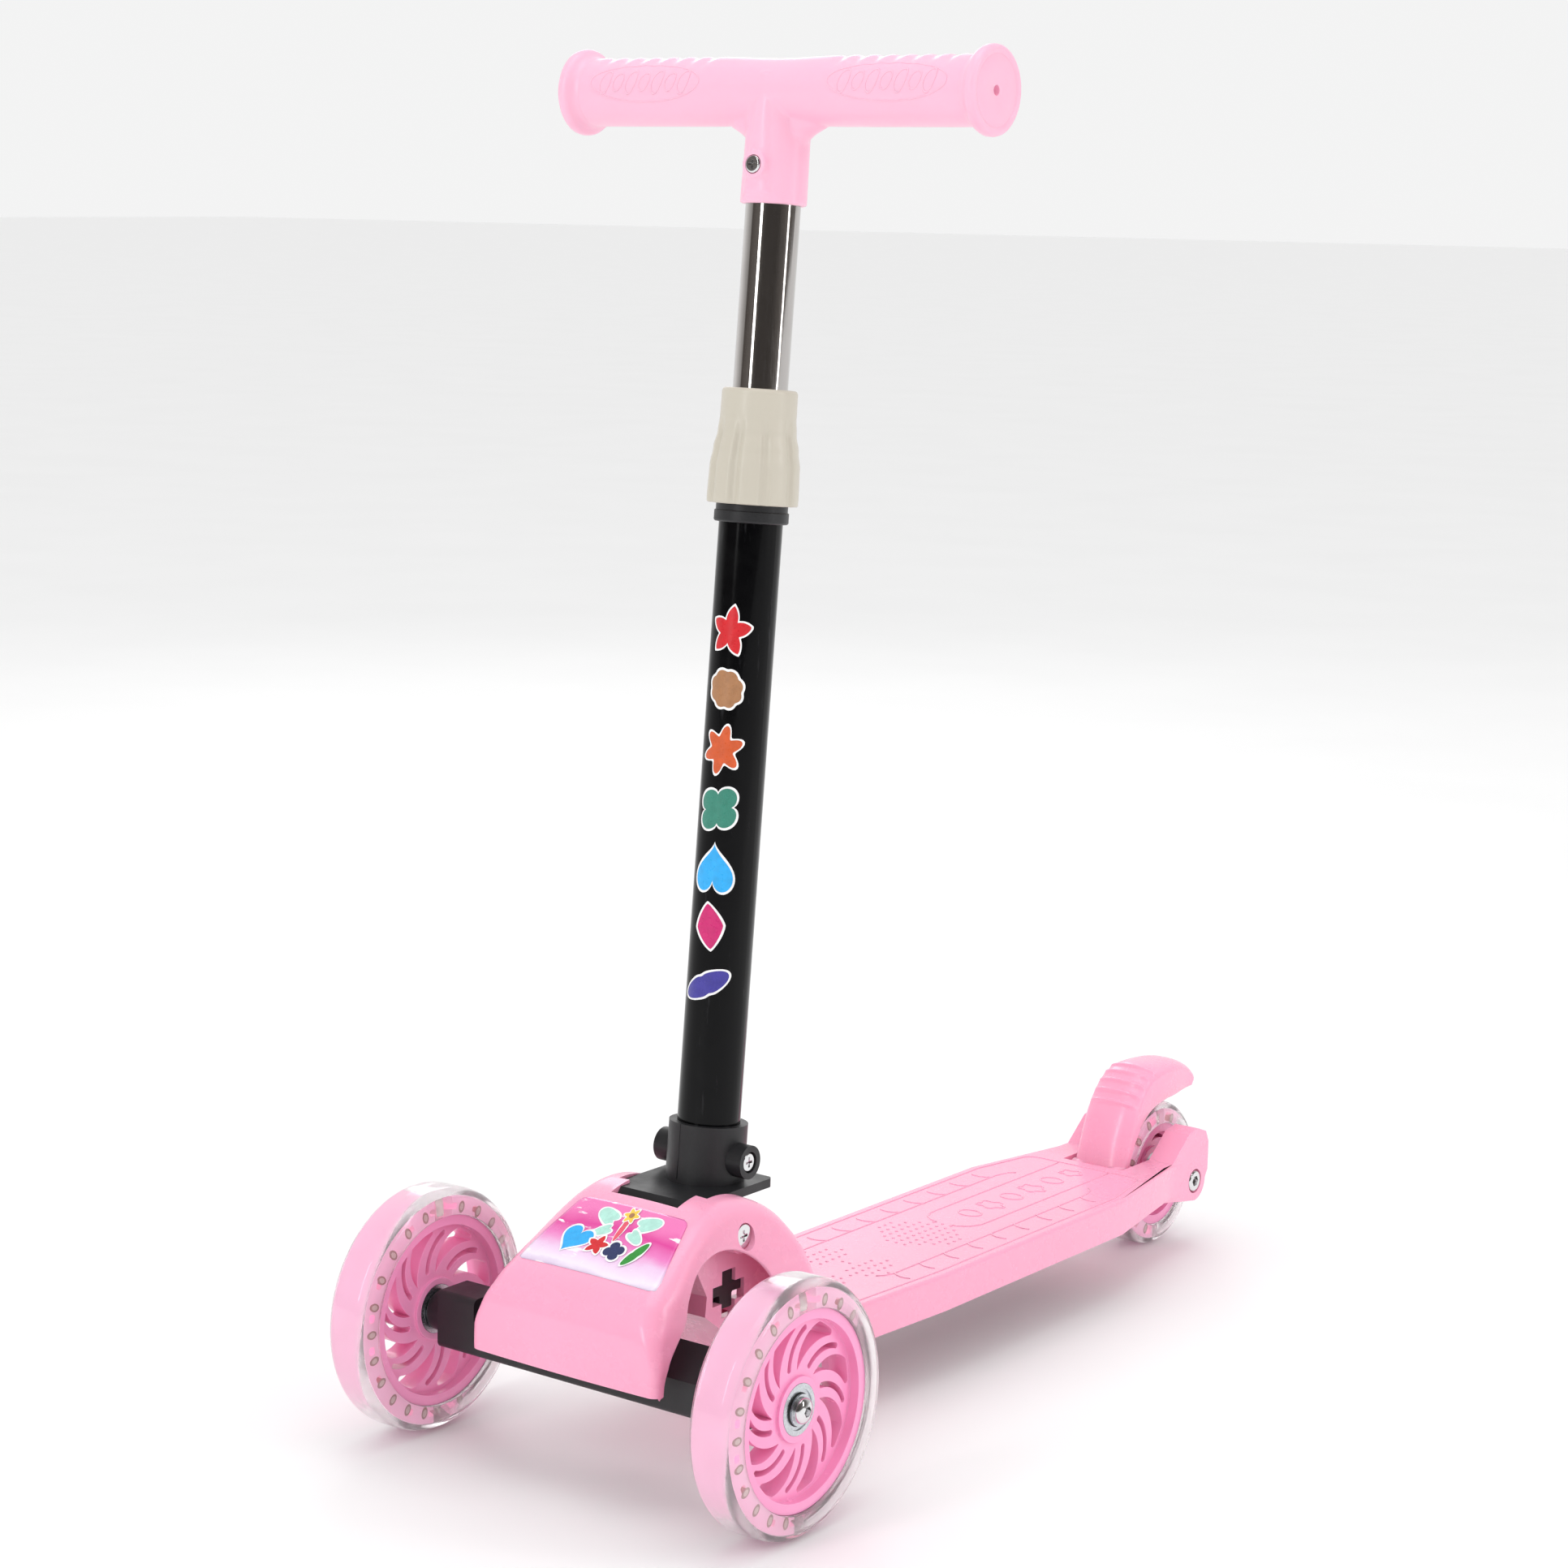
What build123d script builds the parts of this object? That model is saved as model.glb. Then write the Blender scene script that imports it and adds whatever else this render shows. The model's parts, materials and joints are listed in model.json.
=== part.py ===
from build123d import *
import os
from math import asin, atan2, cos, degrees, radians, sin, sqrt, tan

# Child's three-wheel kick scooter: two steered front wheels, one rear wheel with a
# foot brake, a fold-down telescopic stem and a T-shaped handlebar.
# Millimetres.  +X is the rider's left, -Y is forward, +Z is up, and the origin is on
# the ground under the middle of the scooter.

os.makedirs("parts", exist_ok=True)

# ---------------------------------------------------------------- driving sizes
length = 550.0                 # overall, tyre to tyre
width = 220.0                  # overall, tyre to tyre and across the handlebar
bar_height = 590.8             # handlebar centre line above the ground

front_wheel_radius = 55.0
rear_wheel_radius = 38.0
tyre_width = 22.0
rim_radius = 43.0              # front hub rim, outside
rear_rim_radius = 27.0         # rear hub rim, outside

stem_lean = 4.9                # degrees back from upright
fold_pivot_from_axle = 50.5    # fold pivot behind the front axle
fold_pivot_height = 103.5
fold_angle = 78.0

deck_top = 52.0
deck_depth = 18.0              # height of the side skirt
deck_front_gap = 97.0          # deck's front edge behind the front axle
deck_half_front = 40.0
deck_half_middle = 45.5
deck_half_rear = 33.0
deck_wall = 2.6
fork_half = 31.6               # outside of the rear fork arms
fork_gap_half = 17.5           # inside of the rear fork arms

outer_tube_radius = 14.0
outer_tube_wall = 1.5
inner_tube_radius = 12.0
inner_tube_wall = 1.2
outer_tube_top = 310.0         # along the stem from the socket's foot
collar_bottom = 297.0
collar_height = 50.0
sleeve_bottom = 426.0          # lower end of the handlebar's sleeve
inner_tube_bottom = 205.0
grip_radius = 15.0
flange_radius = 19.0
flange_width = 6.0
sleeve_radius = 14.7

socket_foot_height = 118.0     # top of the socket's base plate above the ground
socket_height = 25.0
socket_wall = 3.5
socket_radius = outer_tube_radius + socket_wall

axle_radius = 4.0
bearing_radius = 11.0
bearing_width = 5.0
bearing_gap_half = 1.5         # half the spacer between a wheel's two bearings
king_lean = 25.0               # degrees the kingpin leans forward at its top
king_offset = 8.0              # kingpin behind the front axle, at king_height
king_height = 58.0

hood_radius = 50.0             # round hood of the front housing
hood_centre_from_axle = 46.0
hood_centre_height = 70.0
arch_radius = 36.0             # opening in each cheek of the housing
arch_centre_from_axle = 32.0
arch_centre_height = 66.0
apron_bottom = 53.0
apron_reach = 27.0             # front face of the housing ahead of the axle
shell_wall = 2.8
cheek_inside = 31.5

# fits and clearances
seat = 0.05                    # parts of one assembly that sit on each other
running = 0.05                 # radial, shaft in bore
air = 0.3                      # between parts that move past each other

# ---------------------------------------------------------------- derived places
front_axle_y = -length / 2 + front_wheel_radius
rear_axle_y = length / 2 - rear_wheel_radius
wheel_x = width / 2 - tyre_width / 2
pivot_y = front_axle_y + fold_pivot_from_axle
pivot_z = fold_pivot_height
hub_half = bearing_gap_half + bearing_width
deck_bottom = deck_top - deck_depth
deck_front_y = front_axle_y + deck_front_gap

lean_sin = sin(radians(stem_lean))
lean_cos = cos(radians(stem_lean))
stem_y_at_ground = front_axle_y + 62.6
stem_foot_y = stem_y_at_ground + socket_foot_height * tan(radians(stem_lean))
stem = Plane(
    origin=(0, stem_foot_y, socket_foot_height),
    x_dir=(1, 0, 0),
    z_dir=(0, lean_sin, lean_cos),
)
stem_axis = Axis(stem.origin, stem.z_dir)
bar_station = (bar_height - socket_foot_height) / lean_cos   # along the stem

king_sin = sin(radians(king_lean))
king_cos = cos(radians(king_lean))
king = Plane(
    origin=(0, front_axle_y + king_offset, king_height),
    x_dir=(1, 0, 0),
    z_dir=(0, -king_sin, king_cos),
)


def side_plane(x=0.0, y=0.0, z=0.0):
    """Plane that faces +X: its own x runs along +Y and its own y along +Z."""
    return Plane(origin=(x, y, z), x_dir=(0, 1, 0), z_dir=(1, 0, 0))


def profile_plane(x=0.0, y=0.0, z=0.0):
    """Plane that holds a wheel's half section: own x along +X, own y along +Z."""
    return Plane(origin=(x, y, z), x_dir=(1, 0, 0), z_dir=(0, -1, 0))


def x_axis(y, z):
    """Line along +X through a point of the side view."""
    return Axis((0, y, z), (1, 0, 0))


def write(part, name):
    """Label a finished piece and write it as its own STEP file."""
    part.label = name
    export_step(part, f"parts/{name}.step")


def x_rod(radius, x_low, x_high, y, z):
    """Plain round bar along X."""
    with BuildPart() as rod:
        with BuildSketch(side_plane(x_low, y, z)):
            Circle(radius)
        extrude(amount=x_high - x_low)
    return rod.part


def x_ring(outer, inner, x_low, x_high, y, z):
    """Plain ring along X."""
    with BuildPart() as ring:
        with BuildSketch(side_plane(x_low, y, z)):
            Circle(outer)
            Circle(inner, mode=Mode.SUBTRACT)
        extrude(amount=x_high - x_low)
    return ring.part


# ---------------------------------------------------------------- wheels
tyre_side_wall = 2.5
tyre_crown = 4.0
tyre_shoulder = 6.0
rim_depth = 4.6                # radial thickness of the hub's rim
rim_half = 9.5
web_half = 5.0
boss_radius = 14.0
bearing_shoulder = 1.6         # land between the bearings, radial
gap_angle = 13.0               # degrees, each clear gap in the coloured core
swirl_count = 8
swirl_sweep = -30.0           # degrees from the hub to the rim
slot_width = 2.4
pocket_corner = 0.07           # corner radius as a share of the pocket's length
slot_room = 10.0               # spokes shorter than this have no slot
led_half_width = 6.0


def swirl_point(radius, start_angle, inner, outer):
    """Point of a swirl line, whose angle falls as it nears the rim."""
    share = (radius - inner) / (outer - inner)
    angle = radians(start_angle + swirl_sweep * share)
    return (radius * cos(angle), radius * sin(angle))


def swirl_pocket(inner, outer):
    """Wide curved pocket between two spokes, pointed at the hub."""
    middle = (inner + outer) / 2
    with BuildSketch() as pocket:
        with BuildLine():
            low = swirl_point(inner, 0, inner, outer)
            far = swirl_point(outer, 5, inner, outer)
            near = swirl_point(outer, -19, inner, outer)
            ThreePointArc(low, swirl_point(middle, 8, inner, outer), far)
            RadiusArc(far, near, outer)
            ThreePointArc(near, swirl_point(middle, -8, inner, outer), low)
        make_face()
        fillet(pocket.vertices().sort_by_distance((0, 0))[1:], (outer - inner) * pocket_corner)
    return pocket.sketch


def swirl_slot(inner, outer):
    """Narrow curved slot that splits each spoke."""
    middle = (inner + outer) / 2
    with BuildSketch() as slot:
        SlotArc(
            ThreePointArc(
                swirl_point(inner + 2, 20, inner, outer),
                swirl_point(middle, 21, inner, outer),
                swirl_point(outer - 3, 17, inner, outer),
                mode=Mode.PRIVATE,
            ),
            slot_width,
        )
    return slot.sketch


def make_wheel(name, x, y, radius, rim, windows, window_size):
    """Write one wheel: tyre, lit core, hub, bearings, their spacer and the lamps."""
    centre = (x, y, radius)
    axis = Axis(centre, (1, 0, 0))
    core_outer = radius - tyre_crown
    core_half = tyre_width / 2 - tyre_side_wall

    with BuildPart() as tyre:
        with BuildSketch(profile_plane(*centre)) as section:
            with Locations((0, (rim + seat + radius) / 2)):
                Rectangle(tyre_width, radius - rim - seat)
            fillet(section.vertices().group_by(Axis.Y)[-1], tyre_shoulder)
            with Locations((0, (rim + core_outer) / 2)):
                Rectangle(2 * core_half, core_outer - rim, mode=Mode.SUBTRACT)
        revolve(axis=axis)
    write(tyre.part, f"{name}_tyre")

    window_radius = (rim + core_outer) / 2
    with BuildPart() as core:
        with BuildSketch(side_plane(*centre)):
            Circle(core_outer - seat)
            Circle(rim + seat, mode=Mode.SUBTRACT)
            with PolarLocations(window_radius, windows, start_angle=180 / windows):
                RectangleRounded(*window_size, min(window_size) / 3, mode=Mode.SUBTRACT)
            gap = 2 * core_outer * sin(radians(gap_angle / 2))
            Rectangle(3 * radius, gap, rotation=90, mode=Mode.SUBTRACT)
        extrude(amount=core_half - seat, both=True)
    write(core.part, f"{name}_core")

    rim_inner = rim - rim_depth
    slot_inner = boss_radius + 2.5
    slot_outer = rim_inner - 1.5
    with BuildPart() as hub:
        with BuildSketch(side_plane(*centre)):
            Circle(rim)
            Circle(rim_inner, mode=Mode.SUBTRACT)
        extrude(amount=rim_half, both=True)
        with BuildSketch(side_plane(*centre)):
            Circle(rim_inner)
        extrude(amount=web_half, both=True)
        with BuildSketch(side_plane(*centre)):
            with PolarLocations(0, swirl_count):
                add(swirl_pocket(slot_inner, slot_outer))
                if slot_outer - slot_inner > slot_room:
                    add(swirl_slot(slot_inner, slot_outer))
        extrude(amount=2 * web_half, both=True, mode=Mode.SUBTRACT)
        with BuildSketch(side_plane(*centre)):
            Circle(boss_radius)
        extrude(amount=hub_half, both=True)
        with BuildSketch(side_plane(*centre)):
            Circle(bearing_radius - bearing_shoulder)
        extrude(amount=hub_half, both=True, mode=Mode.SUBTRACT)
        for side in (-1, 1):
            with BuildSketch(side_plane(x + side * bearing_gap_half, y, radius)):
                Circle(bearing_radius + seat)
            extrude(amount=side * bearing_width, mode=Mode.SUBTRACT)
    write(hub.part, f"{name}_hub")

    with BuildPart() as bearings:
        with BuildSketch(profile_plane(*centre)):
            for side in (-1, 1):
                middle = side * (bearing_gap_half + bearing_width / 2)
                with Locations((middle, (bearing_radius + axle_radius) / 2)):
                    Rectangle(bearing_width, bearing_radius - axle_radius)
                    with Locations((side * bearing_width / 2, 0)):
                        Rectangle(1.0, 2.6, mode=Mode.SUBTRACT)
        revolve(axis=axis)
    write(bearings.part, f"{name}_bearings")

    spacer = x_ring(
        axle_radius + 2.0, axle_radius, x - bearing_gap_half + seat,
        x + bearing_gap_half - seat, y, radius,
    )
    write(spacer, f"{name}_bearing_spacer")

    lamp_height = core_outer - rim - 2.4
    with BuildPart() as lamps:
        for angle in (90, 270):
            middle = radians(angle)
            reach = (rim + core_outer) / 2
            place = Plane(
                origin=(x, y + reach * cos(middle), radius + reach * sin(middle)),
                x_dir=(0, -sin(middle), cos(middle)),
                z_dir=(1, 0, 0),
            )
            with BuildSketch(place):
                RectangleRounded(5.0, lamp_height + 1.2, 1.0)
            extrude(amount=led_half_width, both=True)
    write(lamps.part, f"{name}_lamps")


window_size = (2.6, 3.6)
rear_window_size = (4.0, 6.4)
make_wheel("left_wheel", wheel_x, front_axle_y, front_wheel_radius, rim_radius, 20, window_size)
make_wheel("right_wheel", -wheel_x, front_axle_y, front_wheel_radius, rim_radius, 20, window_size)
make_wheel("rear_wheel", 0, rear_axle_y, rear_wheel_radius, rear_rim_radius, 12, rear_window_size)

# ---------------------------------------------------------------- front axle
beam_half_length = 83.0
beam_height = 26.0
beam_depth = 22.0
beam_waist_x = 62.0            # outboard of this the beam has its full end section
beam_middle_half = 15.0
king_radius = 4.0
bush_radius = 6.0
beam_top_station = 8.0         # along the kingpin from its origin
beam_bottom_station = -10.0
spring_space = 7.0
king_boss_radius = 11.0
king_boss_height = 12.0
bolt_head_radius = 5.6
bolt_head_height = 3.5
washer_thickness = 0.9
axle_z = front_wheel_radius
spigot_radius = 9.0
bearing_face_x = wheel_x + hub_half
inner_face_x = wheel_x - hub_half
bolt_end_x = 66.0

with BuildPart() as axle_beam:
    with BuildSketch(side_plane(0, front_axle_y, axle_z)):
        RectangleRounded(beam_depth, beam_height, 3)
    extrude(amount=beam_half_length, both=True)
    with BuildSketch(profile_plane(0, front_axle_y, axle_z)):
        with BuildLine():
            Polyline(
                (-beam_waist_x, beam_height / 2 - 1),
                (-beam_middle_half - 10, beam_height / 2 + 4),
                (beam_middle_half + 10, beam_height / 2 + 4),
                (beam_waist_x, beam_height / 2 - 1),
                close=True,
            )
        make_face()
    extrude(amount=beam_depth / 2 - 2, both=True)
    with BuildSketch(king.offset(beam_bottom_station)):
        Circle(king_boss_radius)
    extrude(amount=beam_top_station - beam_bottom_station)
    with BuildSketch(king.offset(beam_top_station)):
        Rectangle(2 * beam_waist_x, 3 * beam_depth)
    extrude(amount=beam_height, mode=Mode.SUBTRACT)
    with BuildSketch(king.offset(beam_bottom_station)):
        Rectangle(2 * king_boss_radius + 4, 2 * king_boss_radius + 8)
    extrude(amount=-beam_height, mode=Mode.SUBTRACT)
    for side in (-1, 1):
        with BuildSketch(side_plane(side * beam_half_length, front_axle_y, axle_z)):
            Circle(spigot_radius)
        extrude(amount=side * (inner_face_x - air - washer_thickness - seat - beam_half_length))
        with BuildSketch(side_plane(side * (bolt_end_x - 2), front_axle_y, axle_z)):
            Circle(axle_radius + seat)
        extrude(amount=side * beam_half_length, mode=Mode.SUBTRACT)
    with BuildSketch(king.offset(beam_bottom_station - 1)):
        Circle(bush_radius + seat)
    extrude(amount=beam_top_station - beam_bottom_station + 2, mode=Mode.SUBTRACT)
write(axle_beam.part, "axle_beam")

with BuildPart() as beam_bush:
    with BuildSketch(king.offset(beam_bottom_station)):
        Circle(bush_radius)
        Circle(king_radius + running, mode=Mode.SUBTRACT)
    extrude(amount=beam_top_station - beam_bottom_station)
write(beam_bush.part, "beam_bush")

with BuildPart() as front_axle_bolts:
    for side in (-1, 1):
        head_x = side * (bearing_face_x + air + washer_thickness)
        with BuildSketch(side_plane(side * bolt_end_x, front_axle_y, axle_z)):
            Circle(axle_radius - running)
        extrude(amount=head_x - side * bolt_end_x)
        with BuildSketch(profile_plane(0, front_axle_y, axle_z)):
            with BuildLine():
                tip_x = head_x + side * bolt_head_height
                Line((head_x, 0), (head_x, bolt_head_radius))
                Line((head_x, bolt_head_radius), (head_x + side * 1.0, bolt_head_radius))
                Spline(
                    (head_x + side * 1.0, bolt_head_radius),
                    (head_x + side * 2.9, bolt_head_radius * 0.6),
                    (tip_x, 0),
                    tangents=[(side, -0.2), (0, -1)],
                )
                Line((tip_x, 0), (head_x, 0))
            make_face()
        revolve(axis=x_axis(front_axle_y, axle_z))
        with BuildSketch(side_plane(side * (width / 2 - 2.4), front_axle_y, axle_z)):
            RegularPolygon(2.4, 6)
        extrude(amount=side * 4, mode=Mode.SUBTRACT)
write(front_axle_bolts.part, "front_axle_bolts")

with BuildPart() as front_axle_washers:
    for side in (-1, 1):
        for face_x, outer in (
            (bearing_face_x + air, bolt_head_radius + 1.2),
            (inner_face_x - air - washer_thickness, spigot_radius - 0.8),
        ):
            with BuildSketch(side_plane(side * face_x, front_axle_y, axle_z)):
                Circle(outer)
                Circle(axle_radius, mode=Mode.SUBTRACT)
            extrude(amount=side * (washer_thickness - seat))
write(front_axle_washers.part, "front_axle_washers")

# ---------------------------------------------------------------- kingpin
king_boss_station = beam_top_station + spring_space
king_head_station = king_boss_station + king_boss_height
nut_height = 5.0

with BuildPart() as kingpin:
    with BuildSketch(king.offset(beam_bottom_station - nut_height - 2)):
        Circle(king_radius)
    extrude(amount=king_head_station - beam_bottom_station + nut_height + 2)
    with BuildSketch(king.offset(king_head_station)):
        RegularPolygon(7, 6)
    extrude(amount=4)
write(kingpin.part, "kingpin")

with BuildPart() as kingpin_nut:
    with BuildSketch(king.offset(beam_bottom_station - air - nut_height)):
        RegularPolygon(7, 6)
        Circle(king_radius + seat, mode=Mode.SUBTRACT)
    extrude(amount=nut_height)
write(kingpin_nut.part, "kingpin_nut")


def coil(plane, mean_radius, wire_radius, pitch, turns):
    """Round-wire helical spring that starts one wire radius above its plane."""
    base = plane.offset(wire_radius)
    path = base.location * Helix(pitch, pitch * turns, mean_radius)
    with BuildPart() as spring:
        with BuildSketch(Plane(origin=path @ 0, z_dir=path % 0)):
            Circle(wire_radius)
        sweep(path=path)
    return spring.part


steer_wire = 0.9
steer_turns = 2.2
steer_pitch = (spring_space - 2 * air - 2 * steer_wire) / steer_turns
steering_spring = coil(
    king.offset(beam_top_station + air), king_radius + 1.5 + steer_wire, steer_wire,
    steer_pitch, steer_turns,
)
write(steering_spring, "steering_spring")

# ---------------------------------------------------------------- neck
neck_outside = 28.5
neck_plate = 4.0
drum_half = 18.0
drum_radius = 20.5
pivot_boss_radius = 9.0
fold_shaft_radius = 4.0
neck_rear_y = deck_front_y + 55
neck_floor = deck_bottom + 2
rail_top = deck_top - deck_wall - seat
latch_half = 27.0
latch_travel = 3.0
latch_y = front_axle_y + 53.5
latch_low = 68.0
latch_top = 85.5
latch_blade = 9.0
latch_ear_span = 22.0
latch_ear_low = 74.5
latch_ear_height = 5.0
latch_post_radius = 4.2
latch_post_top = 61.9
neck_screw_radius = 2.2
neck_screw_y = (deck_front_y + 18, deck_front_y + 42)
neck_screw_x = (neck_outside + neck_outside - neck_plate) / 2 - 4.0


def neck_outline():
    """Side view of the neck's two plates."""
    a = front_axle_y
    with BuildLine() as outline:
        Polyline(
            (a + 28, 94), (a + 38, 77), (a + 37, 68), (a + 59, 52), (a + 76, neck_floor),
            (neck_rear_y, neck_floor), (neck_rear_y, rail_top), (deck_front_y - 0.5, rail_top),
            (a + 92, 62), (a + 80, 88), (a + 64, 107),
        )
        ThreePointArc(
            (a + 64, 107), (pivot_y + 1, pivot_z + 10.5), (a + 37.5, 107),
        )
        Line((a + 37.5, 107), (a + 28, 94))
    return outline.line


with BuildPart() as neck:
    with BuildSketch(side_plane(-neck_outside)):
        add(neck_outline())
        make_face()
    extrude(amount=2 * neck_outside)
    with BuildSketch(side_plane(-neck_outside + neck_plate)):
        with BuildLine():
            a = front_axle_y
            Polyline(
                (a + 20, 90), (a + 35.5, 88), (a + 42, 77), (a + 39, 69.6), (a + 60.5, 54),
                (a + 77, neck_floor + 3), (neck_rear_y + 1, neck_floor + 3),
                (neck_rear_y + 1, 130), (a + 20, 130), close=True,
            )
        make_face()
    extrude(amount=2 * (neck_outside - neck_plate), mode=Mode.SUBTRACT)
    for side in (-1, 1):
        with BuildSketch(side_plane(side * (drum_half + air), pivot_y, pivot_z)):
            Circle(pivot_boss_radius)
        extrude(amount=side * (neck_outside - neck_plate - drum_half - air))
    with BuildSketch(side_plane(-neck_outside, latch_y)):
        with Locations((0, (latch_low - latch_travel + latch_top) / 2)):
            Rectangle(latch_blade + 2 * air, latch_top - latch_low + latch_travel + 2 * air)
        with Locations((0, latch_ear_low - latch_travel / 2 + latch_ear_height / 2)):
            Rectangle(latch_ear_span + 2 * air, latch_ear_height + latch_travel + 2 * air)
    extrude(amount=2 * neck_outside, mode=Mode.SUBTRACT)
    with BuildSketch(side_plane(-9)):
        with BuildLine():
            a = front_axle_y
            Polyline(
                (a + 4, 76), (a + 12, 75), (a + 38, 76), (a + 36, 87.5), (a + 14, 87.5),
                (a + 4, 85), close=True,
            )
        make_face()
    extrude(amount=18)
    with BuildSketch(Plane.XY.offset(latch_post_top - 5)):
        with Locations((0, latch_y)):
            Circle(latch_post_radius)
    extrude(amount=5)
    with BuildSketch(king.offset(king_boss_station)):
        Circle(king_boss_radius)
    extrude(amount=king_boss_height)
    with BuildSketch(king.offset(king_boss_station - 2)):
        Circle(king_radius + seat)
    extrude(amount=king_boss_height + 4, mode=Mode.SUBTRACT)
    with BuildSketch(side_plane(-neck_outside, pivot_y, pivot_z)):
        Circle(fold_shaft_radius + seat)
    extrude(amount=2 * neck_outside, mode=Mode.SUBTRACT)
    for side in (-1, 1):
        for y in neck_screw_y:
            with BuildSketch(Plane.XY.offset(neck_floor)):
                with Locations((side * neck_screw_x, y)):
                    Circle(4.0)
            extrude(amount=rail_top - neck_floor)
            with BuildSketch(Plane.XY.offset(neck_floor)):
                with Locations((side * neck_screw_x, y)):
                    Circle(neck_screw_radius + seat)
            extrude(amount=rail_top - neck_floor, mode=Mode.SUBTRACT)
write(neck.part, "neck")

with BuildPart() as neck_screws:
    for side in (-1, 1):
        for y in neck_screw_y:
            with BuildSketch(Plane.XY.offset(neck_floor - 2.0)):
                with Locations((side * neck_screw_x, y)):
                    Circle(3.6)
            extrude(amount=2.0 - seat)
            with BuildSketch(Plane.XY.offset(neck_floor - 1)):
                with Locations((side * neck_screw_x, y)):
                    Circle(neck_screw_radius)
            extrude(amount=deck_top - deck_wall - seat - neck_floor)
write(neck_screws.part, "neck_screws")

# ---------------------------------------------------------------- fold latch
with BuildPart() as fold_latch:
    with BuildSketch(side_plane(-latch_half, latch_y)):
        with Locations((0, (latch_low + latch_top) / 2)):
            Rectangle(latch_blade, latch_top - latch_low)
        with Locations((0, latch_ear_low + latch_ear_height / 2)):
            Rectangle(latch_ear_span, latch_ear_height)
    extrude(amount=2 * latch_half)
    fillet(fold_latch.edges().filter_by(Axis.X), 0.8)
write(fold_latch.part, "fold_latch")

latch_spring_wire = 0.5
latch_spring_turns = 2.5
latch_spring_height = latch_low - latch_post_top - 2 * air
latch_spring = coil(
    Plane(origin=(0, latch_y, latch_post_top + air), z_dir=(0, 0, 1)), latch_post_radius - 0.8,
    latch_spring_wire, (latch_spring_height - 2 * latch_spring_wire) / latch_spring_turns,
    latch_spring_turns,
)
write(latch_spring, "latch_spring")

# ---------------------------------------------------------------- stem socket
socket_boss_radius = 7.5
socket_boss_reach = 24.0       # also half the width of the foot plate
socket_plate_thickness = 4.0
socket_tube_foot = -3.0        # along the stem, just inside the foot plate
socket_bolt_radius = 2.5
socket_bolt_head = 4.4
socket_bolt_station = 10.5
groove_depth = drum_radius - (pivot_z - latch_top) + air
groove_outer = drum_radius + 5.0
groove_spare = 2.0             # degrees past each end of the fold
plate_front_y = pivot_y - 7.5
plate_rear_y = stem_foot_y + socket_radius + 1
bolt_point = stem.origin + stem.z_dir * socket_bolt_station

with BuildPart() as stem_socket:
    with BuildSketch(side_plane(0, pivot_y, pivot_z)):
        Circle(drum_radius)
    extrude(amount=drum_half, both=True)
    with BuildSketch(Plane.XY.offset(socket_foot_height)):
        with Locations((0, pivot_y)):
            Rectangle(3 * drum_half, 3 * drum_radius)
    extrude(amount=drum_radius, mode=Mode.SUBTRACT)
    with BuildSketch(Plane.XY.offset(socket_foot_height)):
        with Locations((0, (plate_front_y + plate_rear_y) / 2)):
            RectangleRounded(2 * socket_boss_reach, plate_rear_y - plate_front_y, 3)
    extrude(amount=-socket_plate_thickness)
    with BuildSketch(stem.offset(socket_tube_foot)):
        Circle(socket_radius)
    extrude(amount=socket_height - socket_tube_foot)
    with BuildSketch(side_plane(-socket_boss_reach, bolt_point.Y, bolt_point.Z)):
        Circle(socket_boss_radius)
    extrude(amount=2 * socket_boss_reach)
    groove_inner = drum_radius - groove_depth
    with BuildSketch(side_plane(0, pivot_y, pivot_z)):
        with BuildLine():
            key_half = degrees(asin((latch_blade / 2 + air) / groove_inner))
            key_angle = -90 + degrees(atan2(latch_y - pivot_y, pivot_z - latch_top))
            start_angle = key_angle - key_half - groove_spare
            end_angle = key_angle + key_half + fold_angle + groove_spare
            CenterArc((0, 0), groove_inner, start_angle, end_angle - start_angle)
            CenterArc((0, 0), groove_outer, start_angle, end_angle - start_angle)
            for angle in (start_angle, end_angle):
                Line(
                    Vector(groove_inner, 0).rotate(Axis.Z, angle),
                    Vector(groove_outer, 0).rotate(Axis.Z, angle),
                )
        make_face()
    extrude(amount=drum_half, both=True, mode=Mode.SUBTRACT)
    with BuildSketch(stem.offset(3)):
        Circle(outer_tube_radius + seat)
    extrude(amount=socket_height + 5, mode=Mode.SUBTRACT)
    with BuildSketch(side_plane(-socket_boss_reach, bolt_point.Y, bolt_point.Z)):
        Circle(socket_bolt_radius + seat)
    extrude(amount=2 * socket_boss_reach, mode=Mode.SUBTRACT)
    for side in (-1, 1):
        with BuildSketch(side_plane(side * socket_boss_reach, bolt_point.Y, bolt_point.Z)):
            Circle(socket_bolt_head + air)
        extrude(amount=-side * 3.0, mode=Mode.SUBTRACT)
    with BuildSketch(side_plane(-drum_half, pivot_y, pivot_z)):
        Circle(fold_shaft_radius + running)
    extrude(amount=2 * drum_half, mode=Mode.SUBTRACT)
write(stem_socket.part, "stem_socket")

with BuildPart() as socket_bolt:
    with BuildSketch(side_plane(-5, bolt_point.Y, bolt_point.Z)):
        Circle(socket_bolt_radius)
    extrude(amount=socket_boss_reach - 3 + 5 + seat)
    with BuildSketch(side_plane(socket_boss_reach - 3 + seat, bolt_point.Y, bolt_point.Z)):
        Circle(socket_bolt_head)
    extrude(amount=2.4)
    fillet(socket_bolt.faces().sort_by(Axis.X)[-1].edges(), 1.0)
    with BuildSketch(side_plane(socket_boss_reach - 1.6, bolt_point.Y, bolt_point.Z)):
        Rectangle(4.6, 1.2)
        Rectangle(1.2, 4.6)
    extrude(amount=2.0, mode=Mode.SUBTRACT)
write(socket_bolt.part, "socket_bolt")

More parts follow.
